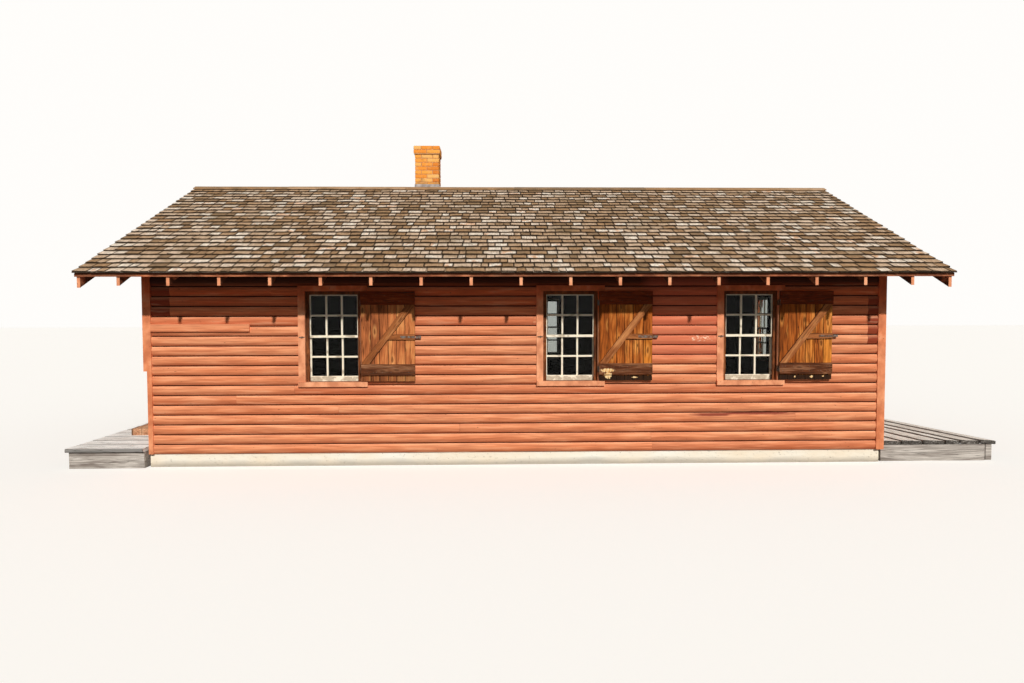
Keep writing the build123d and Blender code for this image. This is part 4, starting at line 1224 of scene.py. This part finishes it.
# %% Cracked planks
def cracked_plank(low, high, foot, top, start, end, cracks=3, depth=0.009, ease=0.006):
    """Rings of a plank (along, across, out) with open cracks in its top.

    A crack is three outline points close together, the middle one pushed down. Its
    depth along the plank is depth times the square of a sine, so that it opens and
    closes. Every ring also drifts a little, and the ends are not quite square.
    """
    places = np.sort(rng.uniform(low + 0.03, high - 0.03, cracks))
    tops = [high - ease] + [c for p in places[::-1] for c in (p + 0.0025, p, p - 0.0025)] + [low + ease]
    outline = [(low, foot + ease), (low + ease, foot), (high - ease, foot), (high, foot + ease)]
    outline += [(high, top - ease)] + [(c, top) for c in tops] + [(low, top - ease)]
    outline = np.array(outline)
    stations = max(8, int((end - start) / 0.09))
    rings = carry(outline, start, end, stations)
    t = np.linspace(0, 1, stations)
    for n in range(cracks):
        wave = np.sin(t * rng.uniform(2, 7) + rng.uniform(0, 6))
        rings[:, 7 + 3 * n, 2] -= depth * wave**2 * (0.4 + 0.6 * rng.uniform())
        sway = 0.004 * np.sin(t * rng.uniform(4, 9) + rng.uniform(0, 6))
        rings[:, 6 + 3 * n : 9 + 3 * n, 1] += sway[:, None]
    worn = rng.uniform(-0.0014, 0.0, rings.shape[:2]) * (outline[:, 1] > foot + 2 * ease)
    rings[..., 2] += worn
    rings[[0, -1], :, 0] += rng.uniform(0, 0.006, (2, len(outline))) * np.array([[1], [-1]])
    return rings


# deck planks get painted shade in the gaps between them and, on the grey deck, at their front ends
deck_looks = {"stretch": (2, 30, 30), "dirt_and_shade": (0.022, 0.016, 0.012), "edge": 0.72}
grey_tints = (0.54, 0.480, 0.420), (0.97, 0.91, 0.83), (1.0, 0.98, 0.93)
pale_tints = (0.60, 0.555, 0.510), (0.96, 0.92, 0.88), (1.0, 1.0, 0.98)
brown_tints = (0.16, 0.065, 0.031), (0.56, 0.27, 0.145), (0.95, 0.66, 0.42)
sleeper_tints = (0.24, 0.20, 0.175), (0.64, 0.585, 0.53), (0.94, 0.90, 0.85)
grey_wood = sawn_wood("grey_deck_wood", grey_tints, knots=0.3, damp_and_shade=(-0.042, 0.95), **deck_looks)
pale_wood = sawn_wood("bleached_landing_wood", pale_tints, knots=0.8, **deck_looks)
brown_wood = sawn_wood("brown_step_wood", brown_tints, knots=0.5, **deck_looks)
ground = axes((0, 0, 0), along_y, along_x, up)
deck_low, deck_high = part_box("right_deck_planks")
plank_gap, deck_top, plank_deep = 0.012, 0.267, 0.050
deck_front, deck_fall = -0.060, 0.042
deck_widths, cup = (0.286, 0.286, 0.300, 0.190, 0.265, 0.215), 0.014
near, row = deck_low.x, []
for width in deck_widths:
    rings = cracked_plank(near, near + width, deck_top - plank_deep, deck_top, deck_front, deck_high.y)
    plank = cut(ground, rings)
    # the deck falls to the back by distance from its front * fall, and each plank has
    # warped, so that its edge on the house side stands up by cup
    x, y, z = plank["points"].T
    z += cup * (near + width - x) / width - deck_fall * (y - deck_front)
    row.append(plank)
    near += width + plank_gap
assemble("right_deck_boards", row, [grey_wood], replaces=["right_deck_planks"])

landing_low, landing_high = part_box("left_landing_planks")
landing_width, landing_count = 0.290, 9
row = []
for k in range(landing_count):
    low = landing_low.y + k * (landing_width + plank_gap)
    start = landing_low.x + rng.uniform(0, 0.015) * (k > 0)
    rings = cracked_plank(low, low + landing_width, deck_top - plank_deep, deck_top, start, landing_high.x)
    row.append(cut(swapped(ground), rings))
assemble("left_landing_boards", row, [pale_wood], replaces=["left_landing_planks"])

step_low, step_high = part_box("left_step")
step = cracked_plank(step_low.x, step_high.x, step_low.z, step_high.z, step_low.y, step_high.y, 4, 0.010)
assemble("left_step_timber", [cut(ground, step)], [brown_wood], replaces=["left_step"])
sleeper_wood = sawn_wood("sleeper_wood", sleeper_tints, False, (1.3, 48, 48))
redress(sleeper_wood, "right_deck_sleepers", "left_landing_sleepers")

# %% [markdown]
# ## Concrete, inside and sheet metal
#
# The foundation is cast concrete, pale and stained by splashes at its foot. The floor
# and the inner walls show only through the glass, and get plain boards, nearly black as
# painted shade of the dim room.


# %% Remaining finishes
lime_coats = (0.95, 0.83, 0.65), (1.0, 0.98, 0.88)
earth_tint, pit_tint, seam_tint = (0.28, 0.22, 0.16), (0.30, 0.26, 0.21), (0.02, 0.014, 0.01)
board_wide = 0.14


def concrete_finish():
    """Cast concrete: clouds of tone, small pits, and dirt near the ground."""
    cast = Finish("foundation_concrete", 0.9)
    cloud = cast.noise((1.6, 1.6, 3), 6, False)
    pit = cast.noise((55, 55, 55), 4, False)
    cast.colour = cast.mix(cast.step(cloud, 0.3, 0.7), *lime_coats)
    splash = cast.minus(cast.axis("Z"), cast.times(cloud, 0.12))
    cast.fade(splash, 0.03, -0.04, 0.6, earth_tint)
    cast.fade(pit, 0.66, 0.74, 0.6, pit_tint)
    return cast.done(cast.plus(cast.step(pit, 0.74, 0.6), cloud), 0.004)


def plain_boards(name, dark, pale, across, run):
    """Boards side by side on a plain solid: a dark joint wherever the place across them
    is near a whole number of boards."""
    wood = Finish(name, 0.8)
    fibre = wood.noise(tuple(2.0 if letter == run else 34.0 for letter in "XYZ"), 5, False)
    count = wood.sums("DIVIDE", wood.axis(across), board_wide)
    seam = wood.step(wood.apart(wood.sums("FRACT", count), 0.5), 0.478, 0.492)
    wood.colour = wood.mix(fibre, dark, pale)
    wood.cover(seam, seam_tint)
    return wood.done(wood.minus(fibre, seam), 0.003)


redress(concrete_finish(), "foundation")
# floor and inner walls nearly black: painted shade of the dim room behind the glass
redress(plain_boards("floor_boards_wood", (0.050, 0.030, 0.018), (0.12, 0.078, 0.046), "Y", "X"), "floor")
inner_boards = plain_boards("inner_wall_boards", (0.025, 0.016, 0.010), (0.070, 0.046, 0.028), "Z", "X")
redress(inner_boards, "front_wall", "back_wall", "left_wall", "right_wall")
# dull grey weathered sheet with pale bloom
bloom, sheet_metal = ((0.20, 0.17, 0.16), (0.42, 0.38, 0.36)), {"Metallic": 0.5}
flashing = mottled("flashing_sheet", 0.5, (12, 12, 12), 5, (0.35, 0.7), bloom, 0.001, False, sheet_metal)
redress(flashing, "chimney_flashing")

# %% [markdown]
# ## Floor, light and camera
#
# A pale floor and a white surround keep the colours honest. One broad sun from the
# front right gives the same eave shadow as in the photograph, and the white world fills
# the shade softly. The camera stands where the picture was taken: its place, lens and
# tilt were worked out from the spacing of the rafter ends and the window sizes.


# %% Stage
def seen_directly(tree):
    """1 for rays from the camera, off a gloss or through glass, and 0 for scattered light."""
    rays = add_node(tree, "ShaderNodeLightPath").node.outputs
    seen = rays["Is Camera Ray"]
    for other in ("Is Glossy Ray", "Is Transmission Ray"):
        seen = add_node(tree, "ShaderNodeMath", {0: seen, 1: rays[other]}, operation="MAXIMUM")
    return seen


def stage_floor(glow):
    """A wide square of pale floor, a grid just below the ground, which glows a little."""
    size, count = 90.0, 12
    line = np.linspace(-size, size, count)
    x, y = np.meshgrid(line, line, indexing="ij")
    points = np.stack([x, y, np.full_like(x, -0.002)], -1).reshape(-1, 3)
    i = (np.arange(count - 1)[:, None] * count + np.arange(count - 1)).ravel()
    mesh = bpy.data.meshes.new("pale_floor")
    mesh.from_pydata(points, [], np.stack([i, i + count, i + count + 1, i + 1], -1).tolist())
    floor = placed("pale_floor", mesh)
    paint = Finish("pale_floor", 0.9, {"Emission Color": (1.0, 0.99, 0.97, 1)})
    seen = seen_directly(paint.tree)
    paint.tree.links.new(paint.times(seen, glow), paint.shader.inputs["Emission Strength"])
    paint.colour = paint.mix(seen, (0.13, 0.12, 0.11), (0.84, 0.83, 0.81))
    mesh.materials.append(paint.done())


def white_world(fill):
    """White to the camera and in reflections, and a soft grey fill for the light."""
    world = bpy.data.worlds.new("studio")
    bpy.context.scene.world = world
    world.use_nodes = True
    tree = world.node_tree
    strength = add_node(tree, "ShaderNodeMapRange", {"Value": seen_directly(tree), "To Min": fill})
    back = tree.nodes["Background"]
    back.inputs["Color"].default_value = (1.0, 0.985, 0.96, 1)
    tree.links.new(strength, back.inputs["Strength"])


def aimed(name, data, way):
    """A lamp or camera, which look down their own -Z, pointed along a direction."""
    made = placed(name, data)
    made.rotation_euler = Vector(way).to_track_quat("-Z", "Y").to_euler()
    return made


floor_glow, sky_fill = 0.26, 0.27
sun_way, camera_place = (-0.172, 0.67, -0.46), (-0.324, -9.283, 2.037)
stage_floor(floor_glow)
white_world(sky_fill)
sun = bpy.data.lights.new("key_sun", "SUN")
sun.energy, sun.angle, sun.color = 3.2, 0.035, (1.0, 0.965, 0.91)
aimed("key_sun", sun, sun_way)

photo_width, focal_px = 1024, 691.25
yaw, pitch, roll = 0.0249, -0.0425, -0.002
camera = bpy.data.cameras.new("photo_camera")
camera.sensor_width = 36.0
camera.lens = focal_px / photo_width * camera.sensor_width
camera.clip_end = 500
viewer = aimed("photo_camera", camera, (sin(yaw) * cos(pitch), cos(yaw) * cos(pitch), sin(pitch)))
viewer.location = camera_place
viewer.rotation_euler.rotate_axis("Z", roll)
bpy.context.scene.camera = viewer
bpy.context.scene.view_settings.view_transform = "Standard"
print("camera lens", round(camera.lens, 2), "mm")
